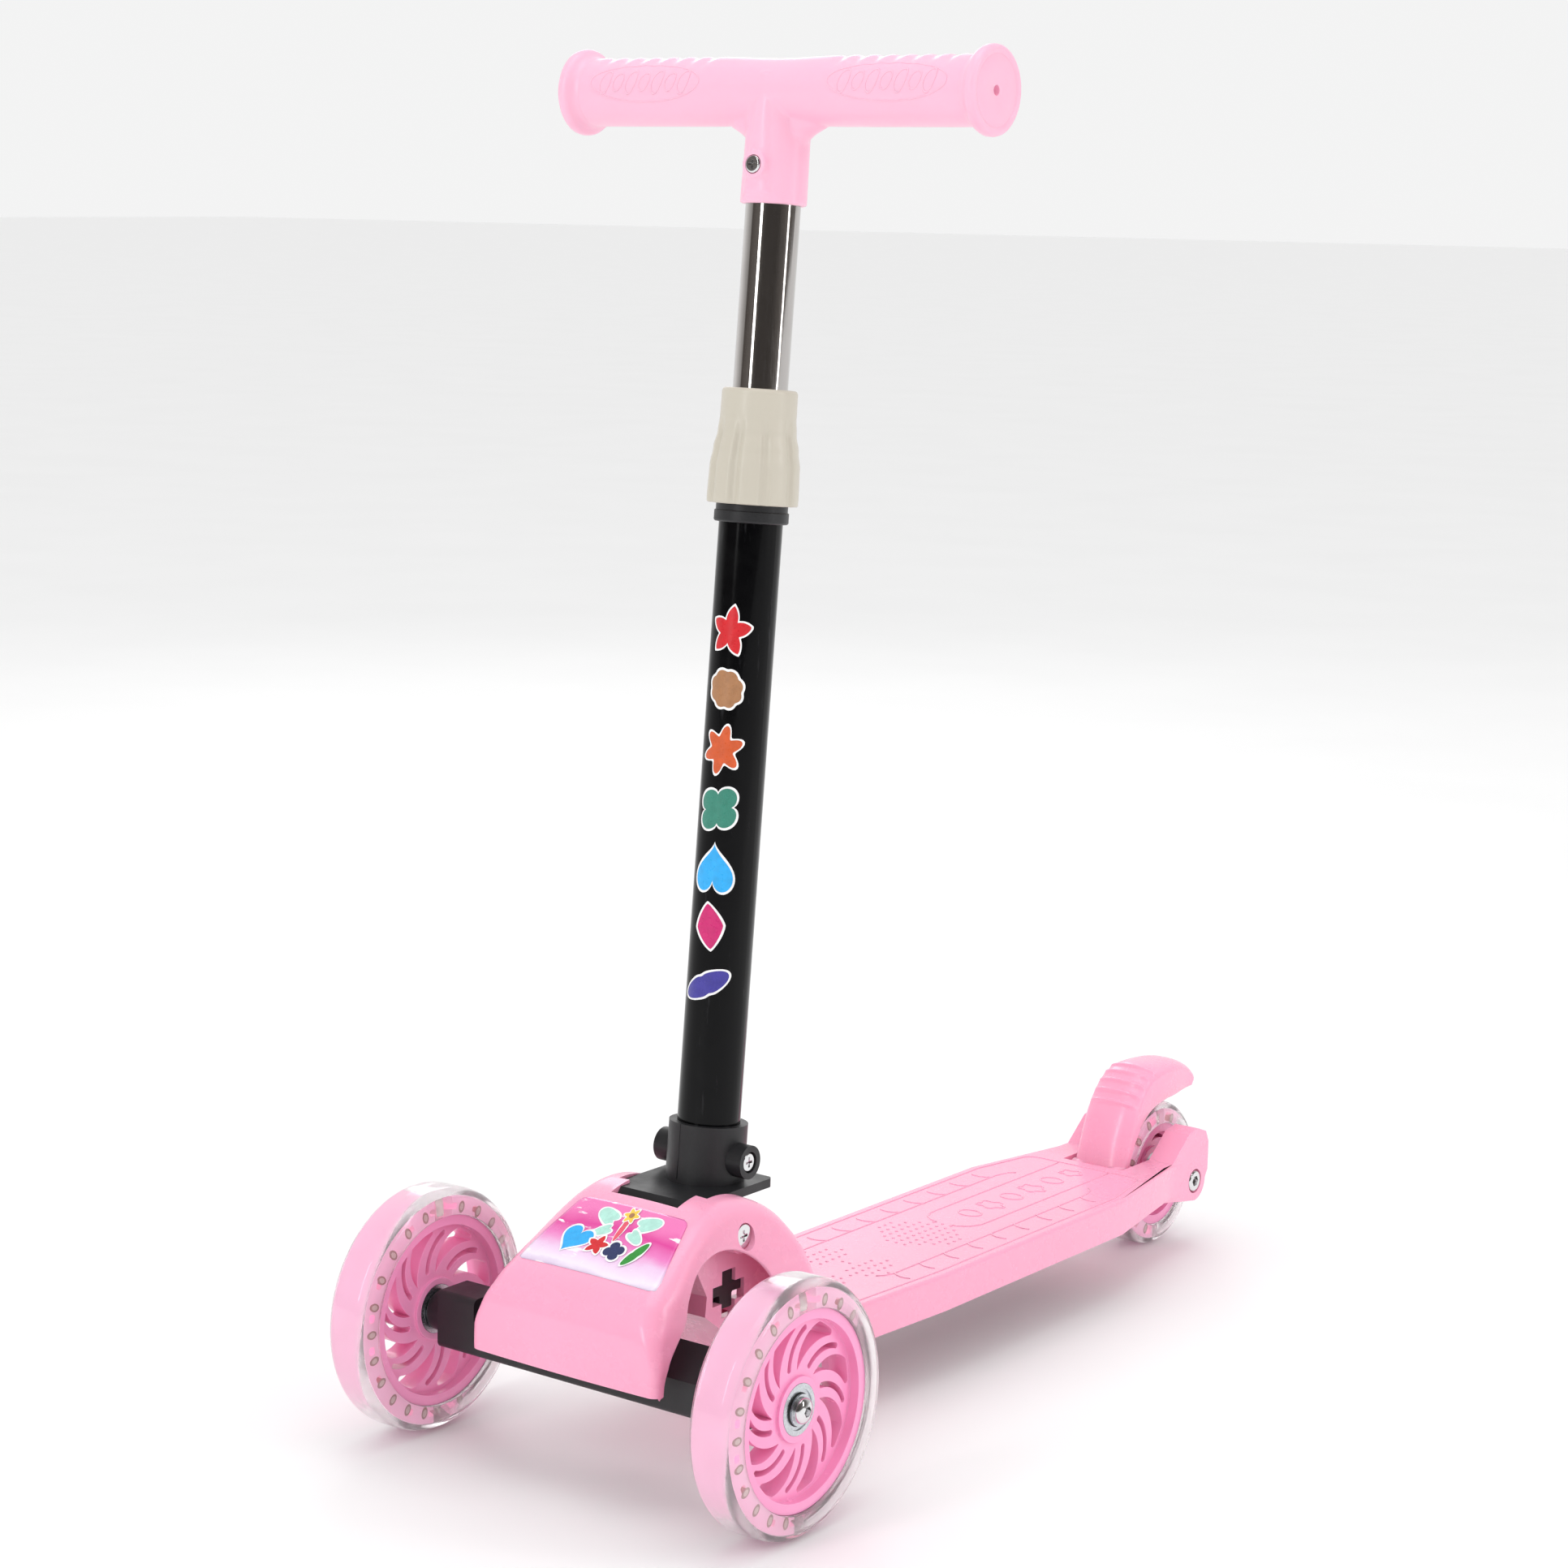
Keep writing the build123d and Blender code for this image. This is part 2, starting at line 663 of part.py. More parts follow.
with BuildPart() as socket_nut:
    with BuildSketch(side_plane(-5 - seat, bolt_point.Y, bolt_point.Z)):
        Circle(socket_bolt_radius)
    extrude(amount=-(socket_boss_reach - 3 - 5))
    with BuildSketch(side_plane(-socket_boss_reach + 3 - seat, bolt_point.Y, bolt_point.Z)):
        Circle(socket_bolt_head)
    extrude(amount=-2.4)
    fillet(socket_nut.faces().sort_by(Axis.X)[0].edges(), 1.0)
    with BuildSketch(side_plane(-socket_boss_reach + 1.6, bolt_point.Y, bolt_point.Z)):
        RegularPolygon(2.4, 6)
    extrude(amount=-2.0, mode=Mode.SUBTRACT)
write(socket_nut.part, "socket_nut")

# ---------------------------------------------------------------- stem tubes
tube_foot = 3.0
ferrule_height = 15.0
ferrule_flange = 5.0
ferrule_wall = 1.7
ferrule_radius = outer_tube_radius + ferrule_wall
ferrule_flange_radius = ferrule_radius + 0.6
collet_height = 12.0
collar_neck_wall = 0.8
collar_base_wall = 4.3
collar_neck_radius = ferrule_radius + collar_neck_wall
collar_base_radius = ferrule_radius + collar_base_wall
collar_flute_count = 8
inner_tube_top_gap = 4.0
plug_height = 24.0
tube_bore = outer_tube_radius - outer_tube_wall

with BuildPart() as outer_tube:
    with BuildSketch(stem.offset(tube_foot + seat)):
        Circle(outer_tube_radius)
        Circle(tube_bore, mode=Mode.SUBTRACT)
    extrude(amount=outer_tube_top - tube_foot)
    with BuildSketch(side_plane(-outer_tube_radius, bolt_point.Y, bolt_point.Z)):
        Circle(socket_bolt_radius + seat)
    extrude(amount=2 * outer_tube_radius, mode=Mode.SUBTRACT)
write(outer_tube.part, "outer_tube")

ferrule_foot = outer_tube_top - ferrule_height - 1
with BuildPart() as tube_ferrule:
    with BuildSketch(stem.offset(ferrule_foot)):
        Circle(ferrule_radius)
        Circle(outer_tube_radius + seat, mode=Mode.SUBTRACT)
    extrude(amount=ferrule_height)
    with BuildSketch(stem.offset(ferrule_foot - ferrule_flange)):
        Circle(ferrule_flange_radius)
        Circle(outer_tube_radius + seat, mode=Mode.SUBTRACT)
    extrude(amount=ferrule_flange)
    chamfer(tube_ferrule.faces().sort_by(stem_axis)[0].edges().sort_by(SortBy.LENGTH)[-1], 0.6)
write(tube_ferrule.part, "tube_ferrule")

collet_foot = outer_tube_top + 2 * air + seat
with BuildPart() as collet:
    with BuildSketch(stem.offset(collet_foot)):
        Circle(ferrule_radius - 0.6)
        Circle(inner_tube_radius + running, mode=Mode.SUBTRACT)
    extrude(amount=collet_height, taper=6)
    with BuildSketch(stem.offset(collet_foot)):
        with Locations((0, inner_tube_radius + 2)):
            Rectangle(1.6, 8)
    extrude(amount=collet_height, mode=Mode.SUBTRACT)
    with BuildSketch(stem.offset(collet_foot - 1)):
        Circle(inner_tube_radius + running)
    extrude(amount=collet_height + 2, mode=Mode.SUBTRACT)
write(collet.part, "collet")


def along(station, radius):
    """Point of a half section drawn in the stem's own upright plane."""
    return (radius, station)


stem_section = Plane(origin=stem.origin, x_dir=(1, 0, 0), z_dir=(0, -lean_cos, lean_sin))
collar_top = collar_bottom + collar_height
collet_top = collet_foot + collet_height

with BuildPart() as lock_collar:
    with BuildSketch(stem_section):
        with BuildLine():
            Polyline(
                along(collar_bottom, ferrule_radius + air),
                along(collar_bottom, collar_base_radius),
                along(collar_bottom + 17, collar_base_radius - 0.4),
                along(collar_bottom + 33, collar_neck_radius + 0.4),
                along(collar_top - 1, collar_neck_radius),
                along(collar_top, collar_neck_radius - 1),
                along(collar_top, inner_tube_radius + air),
                along(collet_top + air, inner_tube_radius + air),
                along(collet_top + air, ferrule_radius + air),
                close=True,
            )
        make_face()
    revolve(axis=stem_axis)
    with BuildSketch(stem.offset(collar_bottom)):
        with PolarLocations(collar_base_radius + 5.0, collar_flute_count):
            Circle(6.2)
    extrude(amount=collar_height - 19, mode=Mode.SUBTRACT)
write(lock_collar.part, "lock_collar")

inner_tube_top = bar_station - inner_tube_top_gap
with BuildPart() as inner_tube:
    with BuildSketch(stem.offset(inner_tube_bottom)):
        Circle(inner_tube_radius)
        Circle(inner_tube_radius - inner_tube_wall, mode=Mode.SUBTRACT)
    extrude(amount=inner_tube_top - inner_tube_bottom)
    screw_station = sleeve_bottom + 16.0
    with BuildSketch(stem_section):
        with Locations((0, screw_station)):
            Circle(2.1)
    extrude(amount=2 * inner_tube_radius, mode=Mode.SUBTRACT)
write(inner_tube.part, "inner_tube")

with BuildPart() as tube_bottom_plug:
    with BuildSketch(stem.offset(inner_tube_bottom)):
        Circle(inner_tube_radius - inner_tube_wall - seat)
        Circle(6, mode=Mode.SUBTRACT)
    extrude(amount=plug_height)
    with BuildSketch(stem.offset(inner_tube_bottom - 4)):
        Circle(tube_bore - 2 * running)
        Circle(6, mode=Mode.SUBTRACT)
    extrude(amount=4 - seat)
    with BuildSketch(stem.offset(inner_tube_bottom - 2)):
        Circle(inner_tube_radius - inner_tube_wall - seat)
        Circle(6, mode=Mode.SUBTRACT)
    extrude(amount=4)
write(tube_bottom_plug.part, "tube_bottom_plug")

with BuildPart() as tube_top_plug:
    with BuildSketch(stem.offset(screw_station - 9)):
        Circle(inner_tube_radius - inner_tube_wall - seat)
    extrude(amount=22)
    with BuildSketch(stem_section):
        with Locations((0, screw_station)):
            Circle(1.9)
    extrude(amount=2 * inner_tube_radius, mode=Mode.SUBTRACT)
write(tube_top_plug.part, "tube_top_plug")

# ---------------------------------------------------------------- handlebar
bar_point = stem.origin + stem.z_dir * bar_station
half_bar = width / 2
bar_wall = 3.0
end_hole_radius = 2.2
screw_boss_radius = 6.0
screw_boss_reach = 17.0
screw_head_radius = 3.8
bar_section = profile_plane(0, bar_point.Y, bar_point.Z)
bar_axis = x_axis(bar_point.Y, bar_point.Z)

with BuildPart() as handlebar:
    with BuildSketch(bar_section):
        with BuildLine():
            flange_in = half_bar - flange_width
            Polyline(
                (0, 0), (0, grip_radius - 1.0), (20, grip_radius - 0.6), (34, grip_radius),
                (flange_in - 5, grip_radius), (flange_in, grip_radius + 2.5),
                (flange_in + 1.5, flange_radius - 0.6), (half_bar - 2.5, flange_radius),
                (half_bar - 0.6, flange_radius - 1.2), (half_bar, flange_radius - 3),
                (half_bar - 0.8, flange_radius - 4.5), (half_bar - 0.8, 0), close=True,
            )
        make_face()
    revolve(axis=bar_axis)
    mirror(about=Plane.YZ)
    with BuildSketch(stem.offset(sleeve_bottom)):
        Circle(sleeve_radius)
    extrude(amount=bar_station - sleeve_bottom)
    for side in (-1, 1):
        with BuildSketch(Plane(origin=bar_point, x_dir=(1, 0, 0), z_dir=stem_section.z_dir)):
            with BuildLine():
                Polyline(
                    (side * (sleeve_radius - 1.5), -grip_radius + 2),
                    (side * (sleeve_radius + 9), -grip_radius + 2),
                    (side * (sleeve_radius + 3), -grip_radius - 2.5),
                    (side * (sleeve_radius - 0.1), -grip_radius - 9),
                    (side * (sleeve_radius - 1.5), -grip_radius - 9),
                    close=True,
                )
            make_face()
        extrude(amount=grip_radius - 5, both=True)
    with BuildSketch(Plane(
        origin=stem.origin + stem.z_dir * screw_station, x_dir=(1, 0, 0), z_dir=stem_section.z_dir,
    )):
        Circle(screw_boss_radius)
    extrude(amount=screw_boss_reach)
    with BuildSketch(stem.offset(sleeve_bottom)):
        Circle(inner_tube_radius + seat)
    extrude(amount=inner_tube_top + seat - sleeve_bottom, mode=Mode.SUBTRACT)
    for side in (-1, 1):
        with BuildSketch(side_plane(side * (sleeve_radius + 8), bar_point.Y, bar_point.Z)):
            Circle(grip_radius - bar_wall)
        extrude(amount=side * (half_bar - sleeve_radius - 8 - bar_wall), mode=Mode.SUBTRACT)
        with BuildSketch(side_plane(side * half_bar, bar_point.Y, bar_point.Z)):
            Circle(end_hole_radius)
        extrude(amount=-side * 2 * bar_wall, mode=Mode.SUBTRACT)
    screw_plane = Plane(
        origin=stem.origin + stem.z_dir * screw_station, x_dir=(1, 0, 0), z_dir=stem_section.z_dir,
    )
    with BuildSketch(screw_plane):
        Circle(2.1)
    extrude(amount=screw_boss_reach, mode=Mode.SUBTRACT)
    with BuildSketch(screw_plane.offset(screw_boss_reach - 1.6)):
        Circle(screw_head_radius + air)
    extrude(amount=2, mode=Mode.SUBTRACT)
write(handlebar.part, "handlebar")

with BuildPart() as handlebar_screw:
    with BuildSketch(screw_plane.offset(2)):
        Circle(1.85)
    extrude(amount=screw_boss_reach - 3.6 + seat)
    with BuildSketch(screw_plane.offset(screw_boss_reach - 1.6 + seat)):
        Circle(screw_head_radius)
    extrude(amount=2.0)
    fillet(handlebar_screw.faces().sort_by(Axis(screw_plane.origin, screw_plane.z_dir))[-1].edges(), 0.9)
    with BuildSketch(screw_plane.offset(screw_boss_reach - 0.6)):
        Rectangle(4.0, 1.0)
        Rectangle(1.0, 4.0)
    extrude(amount=2.0, mode=Mode.SUBTRACT)
write(handlebar_screw.part, "handlebar_screw")

# ---------------------------------------------------------------- front housing
hood_y = front_axle_y + hood_centre_from_axle
arch_y = front_axle_y + arch_centre_from_axle
apron_half = 51.5
apron_widest_z = 64.0
hood_half_top = 34.0
hood_top_z = hood_centre_height + hood_radius
screw_recess_radius = 5.6
screw_recess_depth = 2.4
cheek_foot_z = 50.0
slot_half = drum_half + air
slot_front_y = pivot_y - drum_radius - 2 * air
wide_slot_half = socket_boss_reach + air
wide_slot_front_y = plate_front_y - 2 * air
slot_length = 200.0            # past the back of the housing


def hood_side(shrink):
    """Side view of the housing, drawn inwards by a wall thickness."""
    centre = Vector(hood_y, hood_centre_height)
    radius = hood_radius - shrink
    brow = Vector(front_axle_y - 18 + shrink * 0.9, 90 - shrink * 0.75)
    reach = centre - brow
    tangent_angle = degrees(atan2(-reach.Y, -reach.X)) - degrees(
        atan2(sqrt(reach.length ** 2 - radius ** 2), radius)
    )
    touch = centre + Vector(radius, 0).rotate(Axis.Z, tangent_angle)
    foot_z = cheek_foot_z - shrink * 2
    foot_y = hood_y + sqrt(radius ** 2 - (hood_centre_height - foot_z) ** 2)
    with BuildLine() as side_view:
        Polyline(
            (front_axle_y - apron_reach + shrink, foot_z),
            (front_axle_y - apron_reach + shrink, 62),
            (front_axle_y - 25 + shrink, 79),
            (brow.X, brow.Y),
            (touch.X, touch.Y),
        )
        ThreePointArc(
            (touch.X, touch.Y),
            centre + Vector(radius, 0).rotate(Axis.Z, 40),
            (foot_y, foot_z),
        )
        Line((foot_y, foot_z), (front_axle_y - apron_reach + shrink, foot_z))
    return side_view.line


def hood_front(shrink):
    """Front view of the housing: narrow at the top, flared to the apron."""
    low = cheek_foot_z - 10
    with BuildLine() as front_view:
        Polyline(
            (-apron_half + 1 + shrink, low), (-apron_half + shrink, apron_widest_z),
            (-hood_half_top - 11 + shrink, 88), (-hood_half_top + shrink, hood_top_z - shrink),
            (-hood_half_top + shrink, hood_top_z + 5), (hood_half_top - shrink, hood_top_z + 5),
            (hood_half_top - shrink, hood_top_z - shrink), (hood_half_top + 11 - shrink, 88),
            (apron_half - shrink, apron_widest_z), (apron_half - 1 - shrink, low), close=True,
        )
    return front_view.line


def hood_solid(shrink):
    """Solid that fills the housing's outline, drawn inwards by a wall thickness."""
    with BuildPart() as solid:
        with BuildSketch(side_plane(-apron_half)):
            add(hood_side(shrink))
            make_face()
        extrude(amount=2 * apron_half)
        with BuildSketch(profile_plane(0, hood_y + hood_radius, 0)):
            add(hood_front(shrink))
            make_face()
        extrude(amount=2 * hood_radius + apron_reach, mode=Mode.INTERSECT)
    return solid.part


hood_hollow = hood_solid(shell_wall)
with BuildPart() as front_housing:
    add(hood_solid(0))
    add(hood_hollow, mode=Mode.SUBTRACT)
    with BuildSketch(side_plane(-apron_half - 1)):
        with BuildLine():
            a = front_axle_y
            Polyline(
                (arch_y + arch_radius, arch_centre_height), (arch_y + arch_radius, 30),
                (a - 23, 30), (a - 21, 60), (a - 18.5, 66), (arch_y - arch_radius, 78),
            )
            ThreePointArc(
                (arch_y - arch_radius, 78), (arch_y, arch_centre_height + arch_radius),
                (arch_y + arch_radius, arch_centre_height),
            )
        make_face()
    extrude(amount=2 * apron_half + 2, mode=Mode.SUBTRACT)
    with BuildSketch(Plane.XY.offset(cheek_foot_z - 1)):
        with Locations((0, front_axle_y - apron_reach)):
            Rectangle(3 * apron_half, 16)
    extrude(amount=apron_bottom - cheek_foot_z + 1, mode=Mode.SUBTRACT)
    with BuildSketch(Plane.XY.offset(cheek_foot_z - 5)):
        with Locations((0, slot_front_y + slot_length / 2)):
            Rectangle(2 * slot_half, slot_length)
        with Locations((0, wide_slot_front_y + slot_length / 2)):
            Rectangle(2 * wide_slot_half, slot_length)
    extrude(amount=hood_top_z, mode=Mode.SUBTRACT)
    with BuildSketch(Plane.XY.offset(cheek_foot_z - 5)):
        with Locations((0, front_axle_y + 88 + 50)):
            Rectangle(2 * (neck_outside + air), 100)
    extrude(amount=pivot_z - cheek_foot_z, mode=Mode.SUBTRACT)
    for side in (-1, 1):
        with BuildSketch(side_plane(side * (neck_outside + seat), pivot_y, pivot_z)):
            Circle(pivot_boss_radius - 1)
        extrude(amount=side * (cheek_inside + 4 - neck_outside))
        with BuildSketch(side_plane(side * neck_outside, pivot_y, pivot_z)):
            Circle(fold_shaft_radius + seat)
        extrude(amount=side * 20, mode=Mode.SUBTRACT)
        with BuildSketch(side_plane(side * 36.6, pivot_y, pivot_z)):
            Circle(screw_recess_radius)
        extrude(amount=side * 10, mode=Mode.SUBTRACT)
write(front_housing.part, "front_housing")

sticker_thickness = 0.4
sticker_half_low = 41.0
sticker_half_high = 30.0
brow_y = front_axle_y - 18
brow_z = 90.0
brow_to_centre = sqrt((hood_y - brow_y) ** 2 + (hood_centre_height - brow_z) ** 2)
slope_angle = degrees(
    asin(hood_radius / brow_to_centre) + atan2(hood_centre_height - brow_z, hood_y - brow_y)
)
slope_low = Vector(0, brow_y, brow_z)
slope = Plane(
    origin=slope_low, x_dir=(1, 0, 0),
    z_dir=(0, -sin(radians(slope_angle)), cos(radians(slope_angle))),
)
with BuildPart() as front_sticker:
    with BuildSketch(slope.offset(seat)) as label:
        with BuildLine():
            Polyline(
                (-sticker_half_low, 2), (sticker_half_low, 2), (sticker_half_high, 44),
                (-sticker_half_high, 44), close=True,
            )
        make_face()
        fillet(label.vertices(), 4)
    extrude(amount=sticker_thickness)
write(front_sticker.part, "front_sticker")

fold_shaft_half = 33.0
fold_screw_shank = 2.6
fold_screw_head = 5.0
screw_seat_x = 36.6
with BuildPart() as fold_shaft:
    with BuildSketch(side_plane(-fold_shaft_half, pivot_y, pivot_z)):
        Circle(fold_shaft_radius)
        Circle(fold_screw_shank, mode=Mode.SUBTRACT)
    extrude(amount=2 * fold_shaft_half)
write(fold_shaft.part, "fold_shaft")

with BuildPart() as fold_screws:
    for side in (-1, 1):
        with BuildSketch(side_plane(side * (screw_seat_x + seat), pivot_y, pivot_z)):
            Circle(fold_screw_shank - seat)
        extrude(amount=-side * 18)
        with BuildSketch(side_plane(side * (screw_seat_x + seat), pivot_y, pivot_z)):
            Circle(fold_screw_head)
        extrude(amount=side * 1.8)
        with BuildSketch(side_plane(side * (screw_seat_x + 1), pivot_y, pivot_z)):
            Rectangle(5.2, 1.3)
            Rectangle(1.3, 5.2)
        extrude(amount=side * 2, mode=Mode.SUBTRACT)
write(fold_screws.part, "fold_screws")

# ---------------------------------------------------------------- deck
deck_middle_y = (front_axle_y + 200, front_axle_y + 360)
deck_tail_y = rear_axle_y - 32.0
well_front_y = rear_axle_y - 51.5
well_wall = 3.0
fork_top = 66.0
fork_end_y = rear_axle_y + 13.0
fork_arm = fork_half - fork_gap_half
rear_boss_radius = 10.5
brake_pin_y = rear_axle_y - 45.0
brake_pin_z = 47.0
brake_pin_radius = 2.0
rib_thickness = 2.0
rib_pitch = 42.0
rib_count = 6
axle_recess_radius = 6.4
axle_recess_depth = 3.0


def deck_outline(shrink):
    """Plan of the deck, drawn inwards by a wall thickness."""
    with BuildLine() as plan:
        for side in (-1, 1):
            Polyline(
                (0, deck_front_y + shrink),
                (side * (deck_half_front - 6 - shrink), deck_front_y + shrink),
                (side * (deck_half_front - shrink), deck_front_y + 8),
                (side * (deck_half_middle - shrink), deck_middle_y[0]),
            )
            Line(
                (side * (deck_half_middle - shrink), deck_middle_y[0]),
                (side * (deck_half_middle - shrink), deck_middle_y[1]),
            )
            Polyline(
                (side * (deck_half_middle - shrink), deck_middle_y[1]),
                (side * (deck_half_rear - shrink), deck_tail_y),
                (side * (fork_half - shrink), deck_tail_y + 12),
                (0, deck_tail_y + 12),
            )
    return plan.line


with BuildPart() as deck:
    with BuildSketch(Plane.XY.offset(deck_bottom)):
        add(deck_outline(0))
        make_face()
    extrude(amount=deck_depth)
    top_edges = deck.edges().filter_by(lambda edge: edge.center().Z > deck_top - 0.1)
    outer_edges = top_edges.filter_by(lambda edge: abs(edge.center().X) > deck_half_rear - 2)
    fillet(outer_edges.filter_by(lambda edge: edge.center().Y < deck_tail_y), 2.0)
    with BuildSketch(Plane.XY.offset(deck_bottom)) as hollow:
        add(deck_outline(deck_wall))
        make_face()
        with Locations((0, deck_tail_y + 30)):
            well_length = 60 + 2 * (deck_tail_y - well_front_y + well_wall)
            Rectangle(3 * fork_half, well_length, mode=Mode.SUBTRACT)
    extrude(amount=deck_depth - deck_wall, mode=Mode.SUBTRACT)
    with BuildSketch(Plane.XY.offset(deck_bottom)):
        with Locations((0, deck_front_y)):
            Rectangle(2 * (neck_outside + seat), 12)
    extrude(amount=rail_top + seat - deck_bottom, mode=Mode.SUBTRACT)
    for index in range(rib_count):
        rib_y = neck_rear_y + 12 + index * rib_pitch
        half = deck_half_middle - deck_wall
        if rib_y < well_front_y - 12:
            with BuildSketch(Plane.XY.offset(deck_bottom + 5)):
                with Locations((0, rib_y)):
                    Rectangle(2 * half - 6, rib_thickness)
            extrude(amount=deck_depth - deck_wall - 5)
    for side in (-1, 1):
        with BuildSketch(Plane.XY.offset(deck_bottom + 5)):
            with Locations((side * 18, (neck_rear_y + 10 + well_front_y) / 2)):
                Rectangle(rib_thickness, well_front_y - neck_rear_y - 14)
        extrude(amount=deck_depth - deck_wall - 5)
        with BuildSketch(side_plane(side * fork_gap_half)):
            with BuildLine():
                Polyline(
                    (rear_axle_y, rear_wheel_radius - rear_boss_radius),
                    (deck_tail_y - 6, deck_bottom), (deck_tail_y - 6, deck_top),
                    (deck_tail_y + 8, deck_top), (rear_axle_y - 8, fork_top - 1.5),
                    (rear_axle_y + 2, fork_top), (fork_end_y - 3, fork_top - 3),
                    (fork_end_y, fork_top - 9), (fork_end_y, rear_wheel_radius + 4),
                    (rear_axle_y + rear_boss_radius, rear_wheel_radius),
                )
                ThreePointArc(
                    (rear_axle_y + rear_boss_radius, rear_wheel_radius),
                    (rear_axle_y + rear_boss_radius * sin(radians(45)),
                     rear_wheel_radius - rear_boss_radius * cos(radians(45))),
                    (rear_axle_y, rear_wheel_radius - rear_boss_radius),
                )
            make_face()
        extrude(amount=side * fork_arm)
    with BuildSketch(Plane.XY.offset(deck_bottom - 12)):
        with Locations((0, well_front_y + 100)):
            Rectangle(2 * fork_gap_half, 200)
    extrude(amount=60, mode=Mode.SUBTRACT)
    with BuildSketch(side_plane(-deck_half_middle, rear_axle_y, rear_wheel_radius)):
        Circle(axle_radius + seat)
    extrude(amount=2 * deck_half_middle, mode=Mode.SUBTRACT)
    for side in (-1, 1):
        with BuildSketch(side_plane(side * fork_half, rear_axle_y, rear_wheel_radius)):
            Circle(axle_recess_radius)
        extrude(amount=-side * axle_recess_depth, mode=Mode.SUBTRACT)
        with BuildSketch(side_plane(side * fork_gap_half, brake_pin_y, brake_pin_z)):
            Circle(brake_pin_radius + seat)
        extrude(amount=side * 7, mode=Mode.SUBTRACT)
    with BuildSketch(Plane.XY.offset(deck_bottom)):
        for side in (-1, 1):
            for y in neck_screw_y:
                with Locations((side * neck_screw_x, y)):
                    Circle(neck_screw_radius)
    extrude(amount=deck_depth - 1.0, mode=Mode.SUBTRACT)
write(deck.part, "deck")

# ---------------------------------------------------------------- rear axle
rear_head_x = fork_half - axle_recess_depth
rear_head_radius = 5.6
with BuildPart() as rear_axle_bolt:
    with BuildSketch(side_plane(-rear_head_x + 2, rear_axle_y, rear_wheel_radius)):
        Circle(axle_radius - running)
    extrude(amount=2 * rear_head_x - 2 + seat)
    with BuildSketch(side_plane(rear_head_x + seat, rear_axle_y, rear_wheel_radius)):
        Circle(rear_head_radius)
    extrude(amount=3.2)
    fillet(rear_axle_bolt.faces().sort_by(Axis.X)[-1].edges(), 1.2)
    with BuildSketch(side_plane(rear_head_x + 1.4, rear_axle_y, rear_wheel_radius)):
        RegularPolygon(2.9, 6)
    extrude(amount=3, mode=Mode.SUBTRACT)
write(rear_axle_bolt.part, "rear_axle_bolt")

with BuildPart() as rear_axle_nut:
    with BuildSketch(side_plane(-rear_head_x - seat, rear_axle_y, rear_wheel_radius)):
        Circle(rear_head_radius)
    extrude(amount=-2.6)
    fillet(rear_axle_nut.faces().sort_by(Axis.X)[0].edges(), 1.2)
    with BuildSketch(side_plane(-rear_head_x - 1.4, rear_axle_y, rear_wheel_radius)):
        RegularPolygon(2.9, 6)
    extrude(amount=-3, mode=Mode.SUBTRACT)
write(rear_axle_nut.part, "rear_axle_nut")

with BuildPart() as rear_axle_spacers:
    for side in (-1, 1):
        with BuildSketch(side_plane(side * (hub_half + air), rear_axle_y, rear_wheel_radius)):
            Circle(axle_radius + 2.5)
            Circle(axle_radius, mode=Mode.SUBTRACT)
        extrude(amount=side * (fork_gap_half - hub_half - air - seat))
write(rear_axle_spacers.part, "rear_axle_spacers")

# ---------------------------------------------------------------- brake
brake_half = 15.0
brake_barrel_radius = 4.6
brake_clearance = 3.2          # lever above the tyre when released
brake_arc_radius = rear_wheel_radius + brake_clearance
brake_gap_half = 6.5           # slot in the barrel for the return spring

with BuildPart() as brake_lever:
    with BuildSketch(side_plane(0)):
        with BuildLine():
            y = rear_axle_y
            z = rear_wheel_radius
            Spline(
                (brake_pin_y - brake_barrel_radius, brake_pin_z),
                (y - 44, 62), (y - 36, 80), (y - 25, 93), (y - 13, 98), (y + 1, 98.4),
                (y + 18, 95), (y + 34, 88.5), (y + 37.6, 84.5),
            )
            Polyline(
                (y + 37.6, 84.5), (y + 37, 81.5), (y + 26, 80.5), (y + 9, z + brake_arc_radius - 1),
            )
            ThreePointArc(
                (y + 9, z + brake_arc_radius - 1),
                (y - brake_arc_radius * sin(radians(20)), z + brake_arc_radius * cos(radians(20))),
                (y - brake_arc_radius * sin(radians(68)), z + brake_arc_radius * cos(radians(68))),
            )
            Line(
                (y - brake_arc_radius * sin(radians(68)), z + brake_arc_radius * cos(radians(68))),
                (brake_pin_y + brake_barrel_radius - 1.4, brake_pin_z),
            )
            Line(
                (brake_pin_y + brake_barrel_radius - 1.4, brake_pin_z),
                (brake_pin_y - brake_barrel_radius, brake_pin_z),
            )
        make_face()
    extrude(amount=brake_half, both=True)
    with BuildSketch(side_plane(-brake_half, brake_pin_y, brake_pin_z)):
        Circle(brake_barrel_radius)
    extrude(amount=2 * brake_half)
    with BuildSketch(side_plane(-brake_half, brake_pin_y, brake_pin_z)):
        Circle(brake_pin_radius + running)
    extrude(amount=2 * brake_half, mode=Mode.SUBTRACT)
    with BuildSketch(side_plane(-brake_gap_half, brake_pin_y, brake_pin_z)):
        Circle(brake_barrel_radius + 1.5)
    extrude(amount=2 * brake_gap_half, mode=Mode.SUBTRACT)
write(brake_lever.part, "brake_lever")

with BuildPart() as brake_pin:
    with BuildSketch(side_plane(-fork_gap_half - 6, brake_pin_y, brake_pin_z)):
        Circle(brake_pin_radius)
    extrude(amount=2 * (fork_gap_half + 6))
write(brake_pin.part, "brake_pin")

